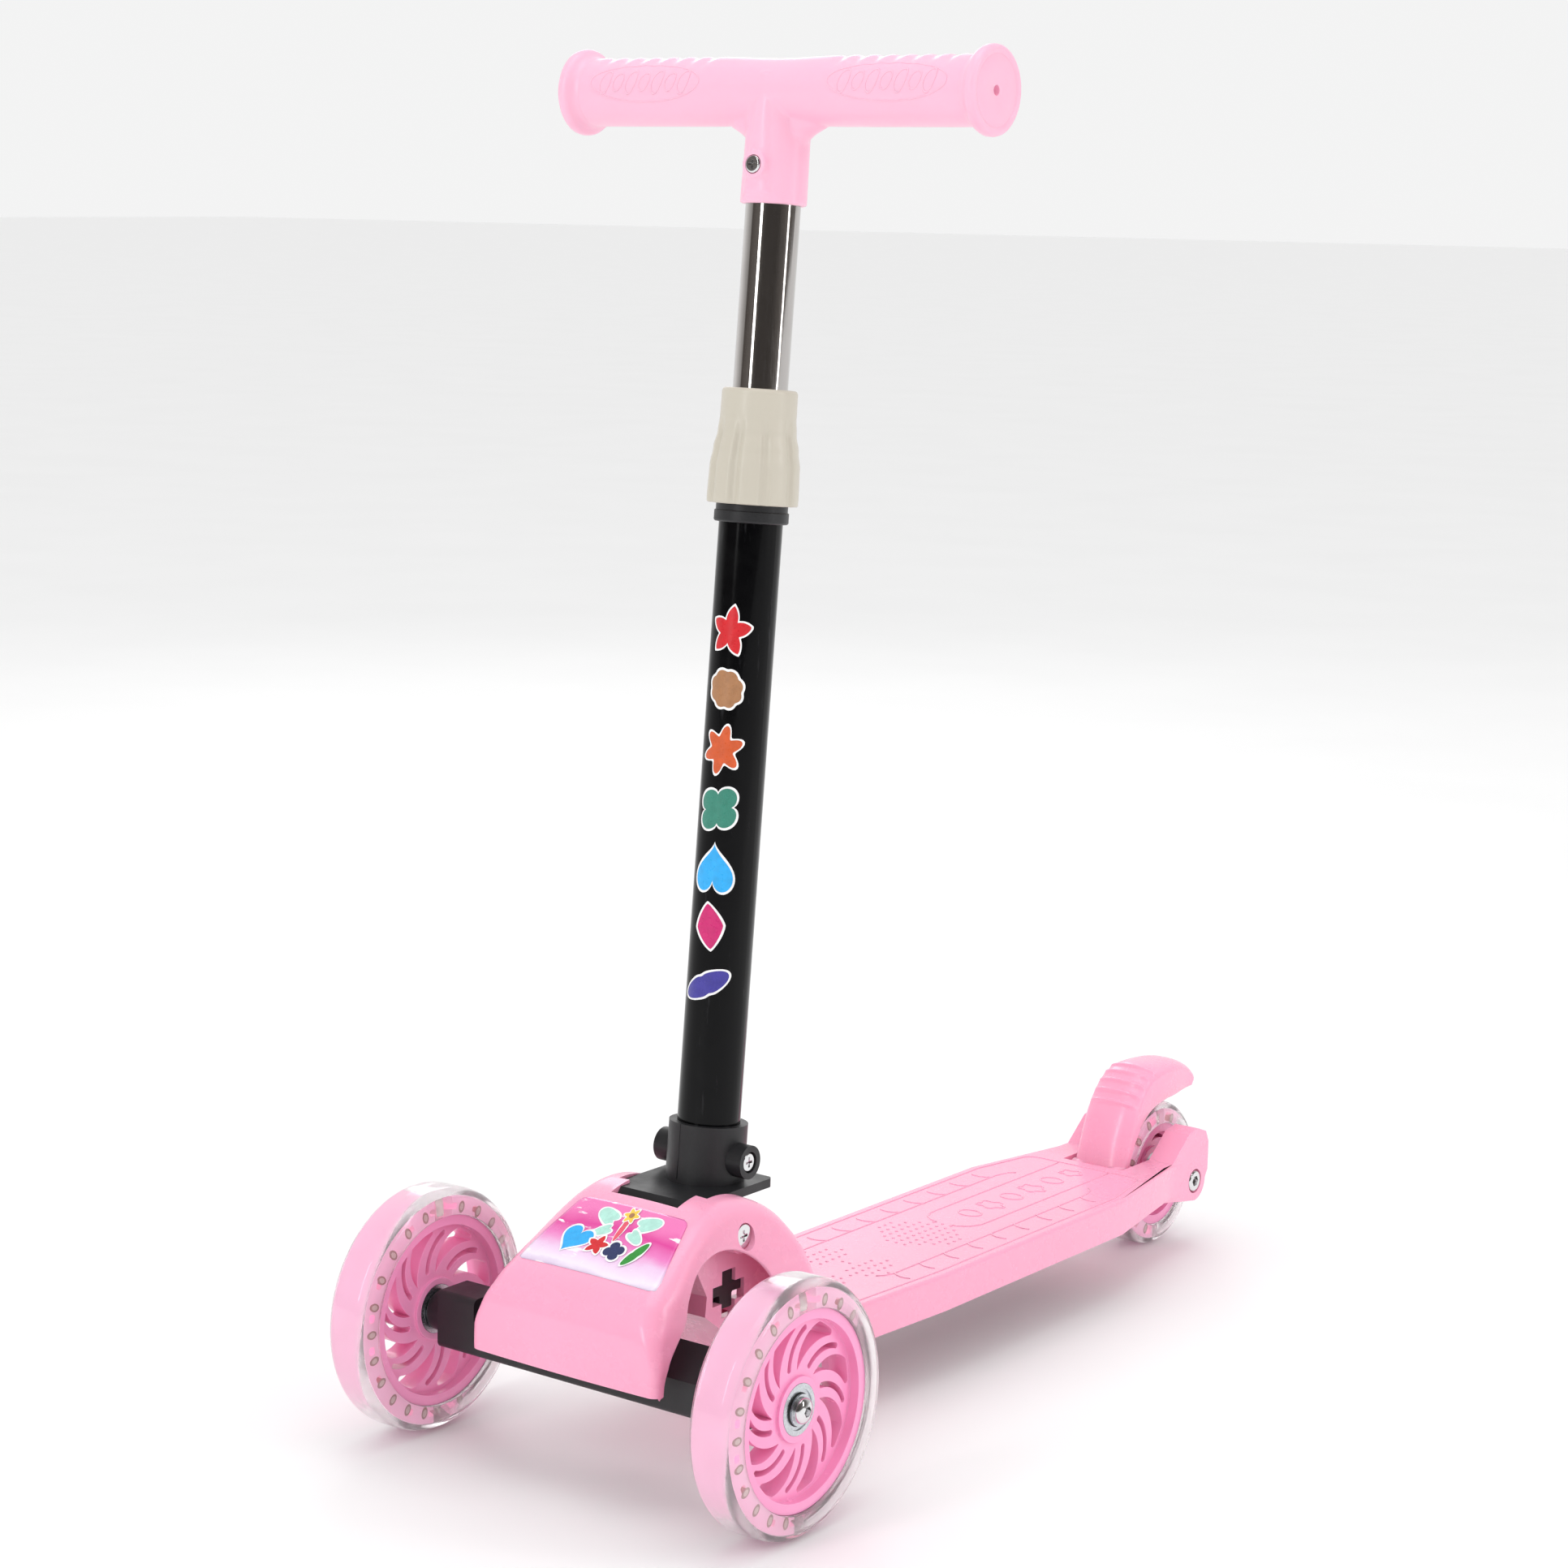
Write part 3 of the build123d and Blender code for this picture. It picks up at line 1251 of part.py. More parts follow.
brake_wire = 0.6
brake_spring_turns = 5.0
brake_spring = coil(
    side_plane(-brake_gap_half + 1, brake_pin_y, brake_pin_z), brake_pin_radius + 0.6 + brake_wire,
    brake_wire, (2 * brake_gap_half - 2 - 2 * brake_wire) / brake_spring_turns, brake_spring_turns,
)
write(brake_spring, "brake_spring")
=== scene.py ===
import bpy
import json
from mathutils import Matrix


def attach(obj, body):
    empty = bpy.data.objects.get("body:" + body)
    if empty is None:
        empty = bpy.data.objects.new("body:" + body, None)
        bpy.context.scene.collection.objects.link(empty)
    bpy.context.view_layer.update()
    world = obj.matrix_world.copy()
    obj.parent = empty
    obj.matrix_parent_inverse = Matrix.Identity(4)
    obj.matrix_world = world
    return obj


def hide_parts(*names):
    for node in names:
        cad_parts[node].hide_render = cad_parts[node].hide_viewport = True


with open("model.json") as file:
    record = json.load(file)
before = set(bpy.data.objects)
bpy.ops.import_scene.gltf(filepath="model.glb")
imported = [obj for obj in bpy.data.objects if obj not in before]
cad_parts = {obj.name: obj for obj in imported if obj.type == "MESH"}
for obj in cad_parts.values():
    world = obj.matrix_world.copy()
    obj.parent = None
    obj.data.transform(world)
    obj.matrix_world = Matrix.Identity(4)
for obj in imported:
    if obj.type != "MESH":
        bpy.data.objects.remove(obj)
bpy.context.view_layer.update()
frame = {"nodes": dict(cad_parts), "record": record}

import json
from math import atan2, cos, exp, hypot, pi, radians, sin, sqrt

import bmesh
import bpy
from mathutils import Matrix, Vector

bl_info = {
    "name": "Child's kick scooter",
    "version": (1, 0, 0),
    "blender": (4, 5, 0),
    "location": "3D View > Sidebar > Scooter",
    "description": "Dresses the packed scooter in its moulded, chromed and printed pieces",
    "category": "Object",
}

# ------------------------------------------------------------------ the frame's own places
# Metres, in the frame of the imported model. +X is the rider's left, -Y is forward and +Z is up.
FRONT_AXLE_Y, FRONT_AXLE_Z = -0.220, 0.055
REAR_AXLE_Y, REAR_AXLE_Z = 0.237, 0.038
WHEEL_X = 0.099
FRONT_RADIUS, FRONT_RIM = 0.055, 0.043
REAR_RADIUS, REAR_RIM = 0.038, 0.027
PIVOT_Y, PIVOT_Z = -0.1695, 0.1035
STEM_FOOT = Vector((0, -0.14728, 0.118))
STEM_LEAN = radians(4.9)
STEM_UP = Vector((0, sin(STEM_LEAN), cos(STEM_LEAN)))
STEM_FRONT = Vector((0, -cos(STEM_LEAN), sin(STEM_LEAN)))
SIDE = Vector((1, 0, 0))
DECK_TOP = 0.052
BRAKE_PIN_Y, BRAKE_PIN_Z = 0.192, 0.047


def on_stem(station, radius=0.0, angle=0.0):
    """Point at a station along the stem; angle 0 faces forward and 90 degrees +X."""
    out = STEM_FRONT * cos(angle) + SIDE * sin(angle)
    return STEM_FOOT + STEM_UP * station + out * radius


# ------------------------------------------------------------------ user settings
def length(name, words, default, low=0.0):
    """A size that the user may change, in metres."""
    return bpy.props.FloatProperty(
        name=name, description=words, default=default, min=low, subtype="DISTANCE", unit="LENGTH")


def colour(name, words, default):
    """A colour that the user may change."""
    return bpy.props.FloatVectorProperty(
        name=name, description=words, subtype="COLOR", size=3, min=0, max=1, default=default)


class ScooterSizes(bpy.types.PropertyGroup):
    """Sizes of the details that the builder adds to the frame."""

    edge_round: length("Edge rounding", "Radius on the edges of the neck", 0.0007)
    finger_groove: length("Finger groove", "Depth of the finger grooves on the grips", 0.0008)
    groove_pitch: length("Groove pitch", "Distance between two finger grooves", 0.0093, 0.004)
    collar_flutes: bpy.props.IntProperty(
        name="Collar flutes", description="Flutes round the twist collar", default=9, min=3)
    flute_depth: length("Flute depth", "Depth of the flutes on the twist collar", 0.0016)
    shell_wall: length("Shell wall", "Wall thickness of the front housing", 0.0026, 0.001)
    tick_count: bpy.props.IntProperty(
        name="Deck ticks", description="Raised ticks on each side band of the deck", default=9, min=1)
    tick_pitch: length("Tick pitch", "Distance between two ticks on the deck", 0.0206, 0.005)
    relief: length("Deck relief", "Height of the raised pattern on the deck", 0.0004)


class ScooterColours(bpy.types.PropertyGroup):
    """Colours of the scooter's finishes."""

    body: colour("Body", "Deck, housing and brake", (0.99, 0.405, 0.585))
    grip: colour("Handlebar", "T handlebar", (0.99, 0.52, 0.68))
    hub: colour("Hubs", "Wheel hubs", (0.99, 0.36, 0.62))
    core: colour("Tyre core", "Coloured ring inside the clear tyre", (1.0, 0.55, 0.78))
    collar: colour("Twist collar", "Warm grey collar on the stem", (0.58, 0.54, 0.455))


# ------------------------------------------------------------------ finishes
finishes = {}  # each finish by its name, filled once by make_finishes


def shader(name, **sockets):
    """New material and its Principled shader with constant sockets set."""
    material = bpy.data.materials.new(name)
    material.use_nodes = True
    principled = material.node_tree.nodes["Principled BSDF"]
    for key, value in sockets.items():
        principled.inputs[key.replace("_", " ")].default_value = value
    finishes[name] = material
    return material.node_tree, principled


def add_node(tree, kind, **values):
    """New node; a value goes to the input or property of its name, and a socket is linked."""
    node = tree.nodes.new(kind)
    for key, value in values.items():
        label = key.replace("_", " ")
        if isinstance(value, bpy.types.NodeSocket):
            tree.links.new(value, node.inputs[label])
        elif label in node.inputs:
            node.inputs[label].default_value = value
        else:
            setattr(node, key, value)
    return node


def reckon(tree, operation, *values, kind="ShaderNodeMath", result="Value"):
    """Result of one sum; each value is a number or a socket."""
    node = add_node(tree, kind, operation=operation)
    for index, value in enumerate(values):
        if isinstance(value, bpy.types.NodeSocket):
            tree.links.new(value, node.inputs[index])
        else:
            node.inputs[index].default_value = value
    return node.outputs[result]


def mix(tree, share, first, second):
    """Colour between two colours or sockets, at a share that a socket gives."""
    node = add_node(tree, "ShaderNodeMix", data_type="RGBA", Factor=share)
    for index, value in ((6, first), (7, second)):
        if isinstance(value, bpy.types.NodeSocket):
            tree.links.new(value, node.inputs[index])
        else:
            node.inputs[index].default_value = (*value, 1)
    return node.outputs[2]


def place(tree, stretch=(1, 1, 1)):
    """Object coordinates, stretched."""
    where = add_node(tree, "ShaderNodeTexCoord")
    return add_node(
        tree, "ShaderNodeMapping", Scale=stretch, Vector=where.outputs["Object"]).outputs["Vector"]


def noise(tree, vector, scale, detail=3.0, roughness=0.5):
    """Noise value at a scale in cells per metre."""
    return add_node(tree, "ShaderNodeTexNoise", Scale=scale, Detail=detail, Roughness=roughness,
                    Vector=vector).outputs["Fac"]


def ramp(tree, value, stops):
    """Colour ramp through (position, colour) stops."""
    node = add_node(tree, "ShaderNodeValToRGB")
    band = node.color_ramp
    while len(band.elements) < len(stops):
        band.elements.new(0.5)
    for element, (position, colour) in zip(band.elements, stops):
        element.position = position
        element.color = (*colour, 1)
    tree.links.new(value, node.inputs["Fac"])
    return node.outputs["Color"]


def spread(tree, value, low, high, start=0.3, end=0.7):
    """A value mapped from start..end to low..high."""
    return add_node(tree, "ShaderNodeMapRange", Value=value, From_Min=start, From_Max=end,
                    To_Min=low, To_Max=high).outputs["Result"]


def dress(tree, principled, colour=None, roughness=None, heights=()):
    """Links a shader's colour and roughness, and its bumps of (value, strength, distance in metres)."""
    if colour is not None:
        tree.links.new(colour, principled.inputs["Base Color"])
    if roughness is not None:
        tree.links.new(roughness, principled.inputs["Roughness"])
    last = None
    for value, strength, distance in heights:
        node = add_node(tree, "ShaderNodeBump", Strength=strength, Distance=distance, Height=value)
        if last is not None:
            tree.links.new(last, node.inputs["Normal"])
        last = node.outputs["Normal"]
    if last is not None:
        tree.links.new(last, principled.inputs["Normal"])


def tint(colour, factor):
    """A colour made lighter or darker."""
    return tuple(min(1.0, channel * factor) for channel in colour)


def mottle(tree, value, colour, darker, lighter, start=0.3, end=0.7):
    """Slight variation round a colour."""
    return ramp(tree, value, ((start, tint(colour, darker)), (end, tint(colour, lighter))))


def moulded_plastic(name, colour, roughness, grain, scuff=0.06, coat=0.0, glow=0.0, light=0.0):
    """Injection moulding: faint flow marks, fine grain, and hairline scuffs; light adds a painted glow, a
    pink emission.
    """
    tree, principled = shader(name, IOR=1.49, Coat_Weight=coat, Coat_Roughness=0.12)
    if glow:
        principled.inputs["Subsurface Weight"].default_value = glow
        principled.inputs["Subsurface Radius"].default_value = (1.0, 0.35, 0.45)
        principled.inputs["Subsurface Scale"].default_value = 0.0025
    # Painted glow: a pink emission that makes the part shine from inside, though it is no lamp.
    if light:
        principled.inputs["Emission Color"].default_value = (1.0, 0.50, 0.70, 1)
        principled.inputs["Emission Strength"].default_value = light
    plain = place(tree)
    mottled = mottle(tree, noise(tree, plain, 28, 4), colour, 0.985, 1.01)
    scratch = noise(tree, place(tree, (1, 14, 1)), 190, 6, 0.7)
    hair = spread(tree, scratch, 0, scuff * 0.5, 0.70, 0.80)
    pale = (1, 1, 1) if colour[0] > 0.3 else (0.5, 0.5, 0.5)
    patch = noise(tree, plain, 75, 5, 0.6)
    dress(tree, principled, mix(tree, hair, mottled, pale),
          spread(tree, patch, roughness * 0.85, roughness * 1.18), (
              (noise(tree, plain, 1500, 3), grain, 0.00012),
              (noise(tree, plain, 40, 2), 0.03, 0.0006),
              (scratch, scuff, 0.00006)))


def clear_plastic(name, colour, clearness):
    """Clear flexible plastic that light passes through, with faint haze and dust."""
    tree, principled = shader(
        name, IOR=1.42, Transmission_Weight=clearness, Coat_Weight=0.25, Coat_Roughness=0.08)
    plain = place(tree)
    dress(tree, principled, mottle(tree, noise(tree, plain, 60, 4), colour, 0.97, 1.02),
          spread(tree, noise(tree, plain, 220, 5), 0.05, 0.16),
          ((noise(tree, plain, 160, 3), 0.12, 0.0003),))


def chrome_plate(name, colour, roughness=0.06):
    """Plated steel: drawn lines along the metal, a faint bloom and pin specks."""
    tree, principled = shader(name, Metallic=1.0)
    plain = place(tree)
    drawn = noise(tree, place(tree, (60, 60, 1)), 26, 4, 0.6)
    dress(tree, principled, mottle(tree, noise(tree, plain, 90, 4), colour, 0.97, 1.03),
          spread(tree, drawn, roughness * 0.6, roughness * 1.7),
          ((drawn, 0.03, 0.00005), (noise(tree, plain, 700, 2), 0.02, 0.00005)))


def zinc_plate(name, colour):
    """Zinc-plated steel: crystalline mottling and brushed rings."""
    tree, principled = shader(name, Metallic=1.0)
    cells = add_node(tree, "ShaderNodeTexVoronoi", Scale=900, Vector=place(tree))
    brushed = noise(tree, place(tree, (1, 1, 9)), 420, 4)
    dress(tree, principled, mottle(tree, cells.outputs["Distance"], colour, 0.88, 1.08, 0.1, 0.8),
          spread(tree, brushed, 0.22, 0.38), ((brushed, 0.08, 0.00005),))


def enamel(name, colour):
    """Glossy stoved enamel on tube: orange peel, dust nibs and light rub marks."""
    tree, principled = shader(
        name, Coat_Weight=0.12, Coat_Roughness=0.04, IOR=1.45, Specular_IOR_Level=0.14)
    plain = place(tree)
    rub = noise(tree, place(tree, (1, 1, 0.12)), 260, 5, 0.65)
    dress(tree, principled, ramp(tree, rub, ((0.60, colour), (0.80, (0.03, 0.03, 0.033)))),
          spread(tree, noise(tree, plain, 120, 4), 0.10, 0.22),
          ((noise(tree, plain, 420, 2), 0.06, 0.0002), (rub, 0.04, 0.00005)))


def sky_print(name):
    """Printed label: pale cloud bank below, magenta sky above, small white clouds."""
    tree, principled = shader(name, Coat_Weight=0.5, Coat_Roughness=0.06, IOR=1.5)
    uv = add_node(tree, "ShaderNodeUVMap", uv_map="label").outputs["UV"]
    up = add_node(tree, "ShaderNodeSeparateXYZ", Vector=uv).outputs["Y"]
    height = reckon(tree, "MULTIPLY_ADD", noise(tree, uv, 2.2, 5.0, 0.55), 0.34, up)
    sky = ramp(tree, height, (
        (0.13, (0.66, 0.52, 0.72)), (0.24, (0.90, 0.80, 0.93)), (0.42, (0.86, 0.60, 0.84)),
        (0.60, (0.84, 0.22, 0.55)), (0.80, (0.74, 0.05, 0.33)), (1.0, (0.88, 0.20, 0.50)),
    ))
    shifted = add_node(
        tree, "ShaderNodeMapping", Location=(3.1, 7.7, 0), Scale=(1.0, 1.9, 1), Vector=uv)
    cloud = spread(tree, noise(tree, shifted.outputs["Vector"], 3.6, 4.0), 0, 1, 0.63, 0.66)
    dress(tree, principled, mix(tree, cloud, sky, (0.96, 0.90, 0.97)),
          spread(tree, noise(tree, place(tree), 200, 3), 0.16, 0.3),
          ((noise(tree, place(tree), 260, 2), 0.05, 0.0002),))


def ink(name, colour):
    """Printed ink: screen dots too fine to see but for their sheen."""
    tree, principled = shader(name, Coat_Weight=0.3, Coat_Roughness=0.1)
    plain = place(tree)
    dress(tree, principled, mottle(tree, noise(tree, plain, 300, 3), colour, 0.9, 1.08),
          spread(tree, noise(tree, plain, 500, 2), 0.24, 0.36))


INKS = {
    "ink_white": (0.93, 0.93, 0.93), "ink_red": (0.66, 0.012, 0.02), "ink_tan": (0.42, 0.20, 0.09),
    "ink_orange": (0.66, 0.10, 0.02), "ink_teal": (0.035, 0.24, 0.17), "ink_sky": (0.02, 0.42, 0.90),
    "ink_magenta": (0.62, 0.008, 0.16), "ink_indigo": (0.045, 0.035, 0.32),
    "ink_navy": (0.02, 0.03, 0.12), "ink_green": (0.03, 0.30, 0.04),
    "ink_aqua": (0.45, 0.78, 0.68), "ink_yellow": (0.90, 0.62, 0.08), "ink_rose": (0.80, 0.10, 0.16),
}


def make_finishes(colours):
    """Makes every finish once."""
    moulded_plastic("pink_moulding", tuple(colours.body), 0.26, 0.05, 0.05, 0.25, 0.12)
    moulded_plastic("grip_moulding", tuple(colours.grip), 0.34, 0.10, 0.04, 0.10, 0.15)
    moulded_plastic("hub_moulding", tuple(colours.hub), 0.24, 0.04, 0.03, 0.2, 0.10)
    # The tyre core gets a painted glow (light=0.30), an emission that brightens it under the clear tyre.
    moulded_plastic("core_moulding", tuple(colours.core), 0.4, 0.05, 0.02, light=0.30)
    moulded_plastic("black_moulding", (0.016, 0.016, 0.018), 0.42, 0.35, 0.10)
    moulded_plastic("collar_moulding", tuple(colours.collar), 0.36, 0.14, 0.05, 0.1)
    clear_plastic("clear_tyre", (1.0, 0.94, 0.955), 0.93)
    clear_plastic("clear_lamp", (0.95, 0.92, 0.86), 0.9)
    # Core pockets: a dark brownish disc as painted shade inside each pocket, with a pale disc on it as a
    # painted glint.
    moulded_plastic("window_painted_shade", (0.52, 0.235, 0.22), 0.3, 0.05, 0.02, 0.3)
    moulded_plastic("window_painted_glint", (0.93, 0.72, 0.68), 0.16, 0.02, 0.02, 0.6)
    chrome_plate("chrome_tube", (0.60, 0.575, 0.56), 0.07)
    chrome_plate("chrome_bolt", (0.78, 0.78, 0.79), 0.12)
    chrome_plate("spring_wire", (0.42, 0.43, 0.45), 0.3)
    zinc_plate("zinc_steel", (0.62, 0.65, 0.68))
    enamel("black_enamel", (0.0015, 0.0015, 0.002))
    sky_print("sky_print")
    for name, colour in INKS.items():
        ink(name, colour)


FRAME_FINISH = {
    "pink_plastic": "pink_moulding", "hub_plastic": "hub_moulding", "core_plastic": "core_moulding",
    "clear_tyre": "clear_tyre", "lamp_clear": "clear_lamp", "black_plastic": "black_moulding",
    "black_paint": "black_enamel", "chrome": "chrome_bolt", "grey_plastic": "collar_moulding",
    "zinc_steel": "zinc_steel", "spring_steel": "spring_wire", "sticker_print": "sky_print",
}


# ------------------------------------------------------------------ curves and sections
def smooth_step(low, high, value):
    """0 below low, 1 above high, with an even slope between."""
    share = min(1.0, max(0.0, (value - low) / (high - low)))
    return share * share * (3 - 2 * share)


def between_marks(marks, place, ease=0.0):
    """Value at a place between (place, value) marks; an ease of 1 is level at each mark."""
    if place <= marks[0][0]:
        return marks[0][1]
    for (pa, va), (pb, vb) in zip(marks, marks[1:]):
        if place <= pb:
            share = (place - pa) / (pb - pa)
            return va + (vb - va) * (ease * smooth_step(0, 1, share) + (1 - ease) * share)
    return marks[-1][1]


def circle(count):
    """Unit circle as (cosine, sine) pairs."""
    return [(cos(2 * pi * k / count), sin(2 * pi * k / count)) for k in range(count)]


def running_lengths(points):
    """Distance along a path to each of its points."""
    lengths = [0.0]
    for a, b in zip(points, points[1:]):
        lengths.append(lengths[-1] + hypot(b[0] - a[0], b[1] - a[1]))
    return lengths


def respaced(points, count):
    """A path's shape with a count of evenly spaced points."""
    lengths = running_lengths(points)
    even, index = [], 0
    for k in range(count):
        goal = lengths[-1] * k / (count - 1)
        while index < len(lengths) - 2 and lengths[index + 1] < goal:
            index += 1
        share = (goal - lengths[index]) / ((lengths[index + 1] - lengths[index]) or 1e-9)
        a, b = points[index], points[index + 1]
        even.append((a[0] + (b[0] - a[0]) * share, a[1] + (b[1] - a[1]) * share))
    return even


def even_path(points, step, soften):
    """Path re-spaced at even steps, its corners rounded over a length."""
    fine = []
    for (ay, az), (by, bz) in zip(points, points[1:]):
        parts = max(1, round(hypot(by - ay, bz - az) / (step / 4)))
        fine += [(ay + (by - ay) * k / parts, az + (bz - az) * k / parts) for k in range(parts)]
    fine.append(points[-1])
    path = respaced(fine, round(running_lengths(fine)[-1] / step) + 1)
    reach = max(1, round(soften / step))
    rounded = []
    for k in range(len(path)):
        near = min(reach, k, len(path) - 1 - k)
        window = path[k - near:k + near + 1]
        rounded.append(tuple(sum(point[axis] for point in window) / len(window) for axis in (0, 1)))
    return rounded


def smooth_curve(points, count):
    """Evenly spaced points of a smooth curve through given ones."""
    fine = []
    padded = [points[0], *points, points[-1]]
    for a, b, c, d in zip(padded, padded[1:], padded[2:], padded[3:]):
        for k in range(24):
            t = k / 24
            fine.append(tuple(
                0.5 * (2 * q + (r - p) * t + (2 * p - 5 * q + 4 * r - s) * t * t
                       + (3 * q - p - 3 * r + s) * t ** 3)
                for p, q, r, s in zip(a, b, c, d)))
    fine.append(points[-1])
    return respaced(fine, count)


def arc(cy, cz, radius, start, end, parts):
    """Points of an arc in the side view, from one angle in degrees to another."""
    turns = [radians(start + (end - start) * k / parts) for k in range(parts + 1)]
    return [(cy + radius * cos(turn), cz + radius * sin(turn)) for turn in turns]


# ------------------------------------------------------------------ mesh helpers
def new_piece(name, mesh, finish=None):
    """New object in the scene from a mesh, with one finish."""
    mesh.name = name
    if finish is not None:
        mesh.materials.clear()
        mesh.materials.append(finishes[finish])
    piece = bpy.data.objects.new(name, mesh)
    bpy.context.scene.collection.objects.link(piece)
    return piece


def plain_mesh(name, vertices, faces):
    """Mesh from points and faces, as they are given."""
    mesh = bpy.data.meshes.new(name)
    mesh.from_pydata([tuple(vertex) for vertex in vertices], [], faces)
    return mesh


def build(name, vertices, faces, finish):
    """New smooth mesh object, its doubles merged and its faces turned outwards."""
    mesh = plain_mesh(name, vertices, faces)
    draft = bmesh.new()
    draft.from_mesh(mesh)
    bmesh.ops.remove_doubles(draft, verts=draft.verts, dist=1e-7)
    bmesh.ops.recalc_face_normals(draft, faces=draft.faces)
    draft.to_mesh(mesh)
    draft.free()
    mesh.shade_smooth()
    return new_piece(name, mesh, finish)


def settle(piece, sharp=None):
    """Turns a piece's modifiers into plain mesh."""
    graph = bpy.context.evaluated_depsgraph_get()
    graph.update()
    mesh = bpy.data.meshes.new_from_object(piece.evaluated_get(graph), depsgraph=graph)
    piece.modifiers.clear()
    piece.data = mesh
    mesh.name = piece.name
    if sharp is not None:
        mesh.shade_smooth()
        mesh.set_sharp_from_angle(angle=radians(sharp))
    return piece


def hand_over(piece, body, slot_name, *nodes):
    """Puts a finished piece on its body, in place of CAD nodes."""
    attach(piece, body)
    if nodes:
        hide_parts(*nodes)


def lattice(rows, closed_rows=False, closed_columns=False):
    """Vertices and quads of a grid given as rows of points."""
    count, width = len(rows), len(rows[0])
    vertices = [point for row in rows for point in row]
    faces = []
    for i in range(count if closed_rows else count - 1):
        for j in range(width if closed_columns else width - 1):
            a, b = i * width + j, i * width + (j + 1) % width
            c, d = ((i + 1) % count) * width + (j + 1) % width, ((i + 1) % count) * width + j
            faces.append((a, b, c, d))
    return vertices, faces


def capped_tube(rows):
    """Vertices and faces of a tube through closed rings, its two ends filled."""
    vertices, faces = lattice(rows, closed_columns=True)
    width = len(rows[0])
    faces += [tuple(range(width)), tuple(range(len(vertices) - width, len(vertices)))]
    return vertices, faces


def turned(name, section, centre, axis, side, finish, steps=96, wobble=None):
    """Closed solid of revolution: section is a closed ring of (along, radius)."""
    other = axis.cross(side)
    rows = []
    for k in range(steps):
        angle = 2 * pi * k / steps
        row = []
        for along, radius in section:
            reach = radius + (wobble(along, radius, angle) if wobble else 0)
            row.append(centre + axis * along + (side * cos(angle) + other * sin(angle)) * reach)
        rows.append(row)
    return build(name, *lattice(rows, closed_rows=True, closed_columns=True), finish)


def rod(name, start, end, radius, finish="pink_moulding", steps=48, far_radius=None):
    """Closed round bar between two points."""
    axis = (end - start).normalized()
    side = axis.orthogonal().normalized()
    other = axis.cross(side)
    rings = []
    for point, reach in ((start, radius), (end, radius if far_radius is None else far_radius)):
        rings.append([
            point + (side * level + other * rise) * reach for level, rise in circle(steps)])
    return build(name, *capped_tube(rings), finish)


def block(name, low, high, finish="pink_moulding"):
    """Closed cuboid used as a cutter or filler."""
    vertices = [(x, y, z) for x in (low[0], high[0]) for y in (low[1], high[1]) for z in (low[2], high[2])]
    faces = [(0, 1, 3, 2), (4, 5, 7, 6), (0, 1, 5, 4), (2, 3, 7, 6), (0, 2, 6, 4), (1, 3, 7, 5)]
    return build(name, vertices, faces, finish)


def shape_with(piece, tool, operation="DIFFERENCE", sharp=40):
    """Cuts or joins a piece with a tool, which is then thrown away."""
    modifier = piece.modifiers.new("shape", "BOOLEAN")
    modifier.operation, modifier.object, modifier.solver = operation, tool, "EXACT"
    settle(piece, sharp)
    bpy.data.objects.remove(tool)
    return piece


def merged_copy(node, name, finish):
    """Welded copy of a CAD node's mesh, with its flat faces joined."""
    mesh = frame["nodes"][node].data.copy()
    draft = bmesh.new()
    draft.from_mesh(mesh)
    bmesh.ops.remove_doubles(draft, verts=draft.verts, dist=2e-6)
    bmesh.ops.dissolve_limit(
        draft, angle_limit=radians(0.6), verts=draft.verts, edges=draft.edges, delimit=set())
    draft.to_mesh(mesh)
    draft.free()
    return new_piece(name, mesh, finish)


def eased(node, name, body, slot_name, finish, width, segments=3, angle=32):
    """A CAD node's shape with the eased edges of a real moulding."""
    piece = merged_copy(node, name, finish)
    round_over = piece.modifiers.new("ease", "BEVEL")
    round_over.limit_method, round_over.angle_limit = "ANGLE", radians(angle)
    round_over.width, round_over.segments = width, segments
    round_over.use_clamp_overlap = True
    round_over.miter_outer = "MITER_ARC"
    settle(piece, 42)
    weighted = piece.modifiers.new("shade", "WEIGHTED_NORMAL")
    weighted.keep_sharp = True
    settle(piece)
    hand_over(piece, body, slot_name, node)
    return piece


# ------------------------------------------------------------------ printed shapes
def outline(kind, points=72):
    """Closed unit outline, seen whole from its own centre."""
    ring = []
    for k in range(points):
        angle = 2 * pi * k / points
        if kind == "star":
            share = abs(((angle * 5 / (2 * pi)) % 1) - 0.5) * 2
            reach = 0.46 + 0.54 * share
        elif kind == "flower":
            reach = 0.78 + 0.22 * cos(6 * angle)
        elif kind == "clover":
            reach = 0.62 + 0.38 * abs(cos(2 * angle)) ** 0.7
        elif kind == "leaf":
            reach = 0.52 / sqrt(0.27 * cos(angle) ** 2 + sin(angle) ** 2)
            reach = min(1.0, reach * (1 - 0.12 * cos(2 * angle) ** 8 * (abs(cos(angle)) < 0.9)))
        elif kind == "diamond":
            reach = 0.86 / (abs(cos(angle)) ** 1.25 + 1.25 * abs(sin(angle)) ** 1.25) ** 0.8
        elif kind == "shell":
            reach = 0.80 + 0.10 * abs(cos(4 * angle)) + 0.08 * cos(angle)
        elif kind == "heart":
            x = 16 * sin(angle) ** 3
            y = 13 * cos(angle) - 5 * cos(2 * angle) - 2 * cos(3 * angle) - cos(4 * angle)
            ring.append(((y + 2.5) / 15.5, x / 15.5))
            continue
        elif kind == "wing":
            reach = 0.62 + 0.38 * cos(angle) ** 3 if cos(angle) > 0 else 0.62 - 0.42 * cos(angle) ** 4
        else:
            reach = 0.85
        ring.append((reach * cos(angle), reach * sin(angle)))
    return ring


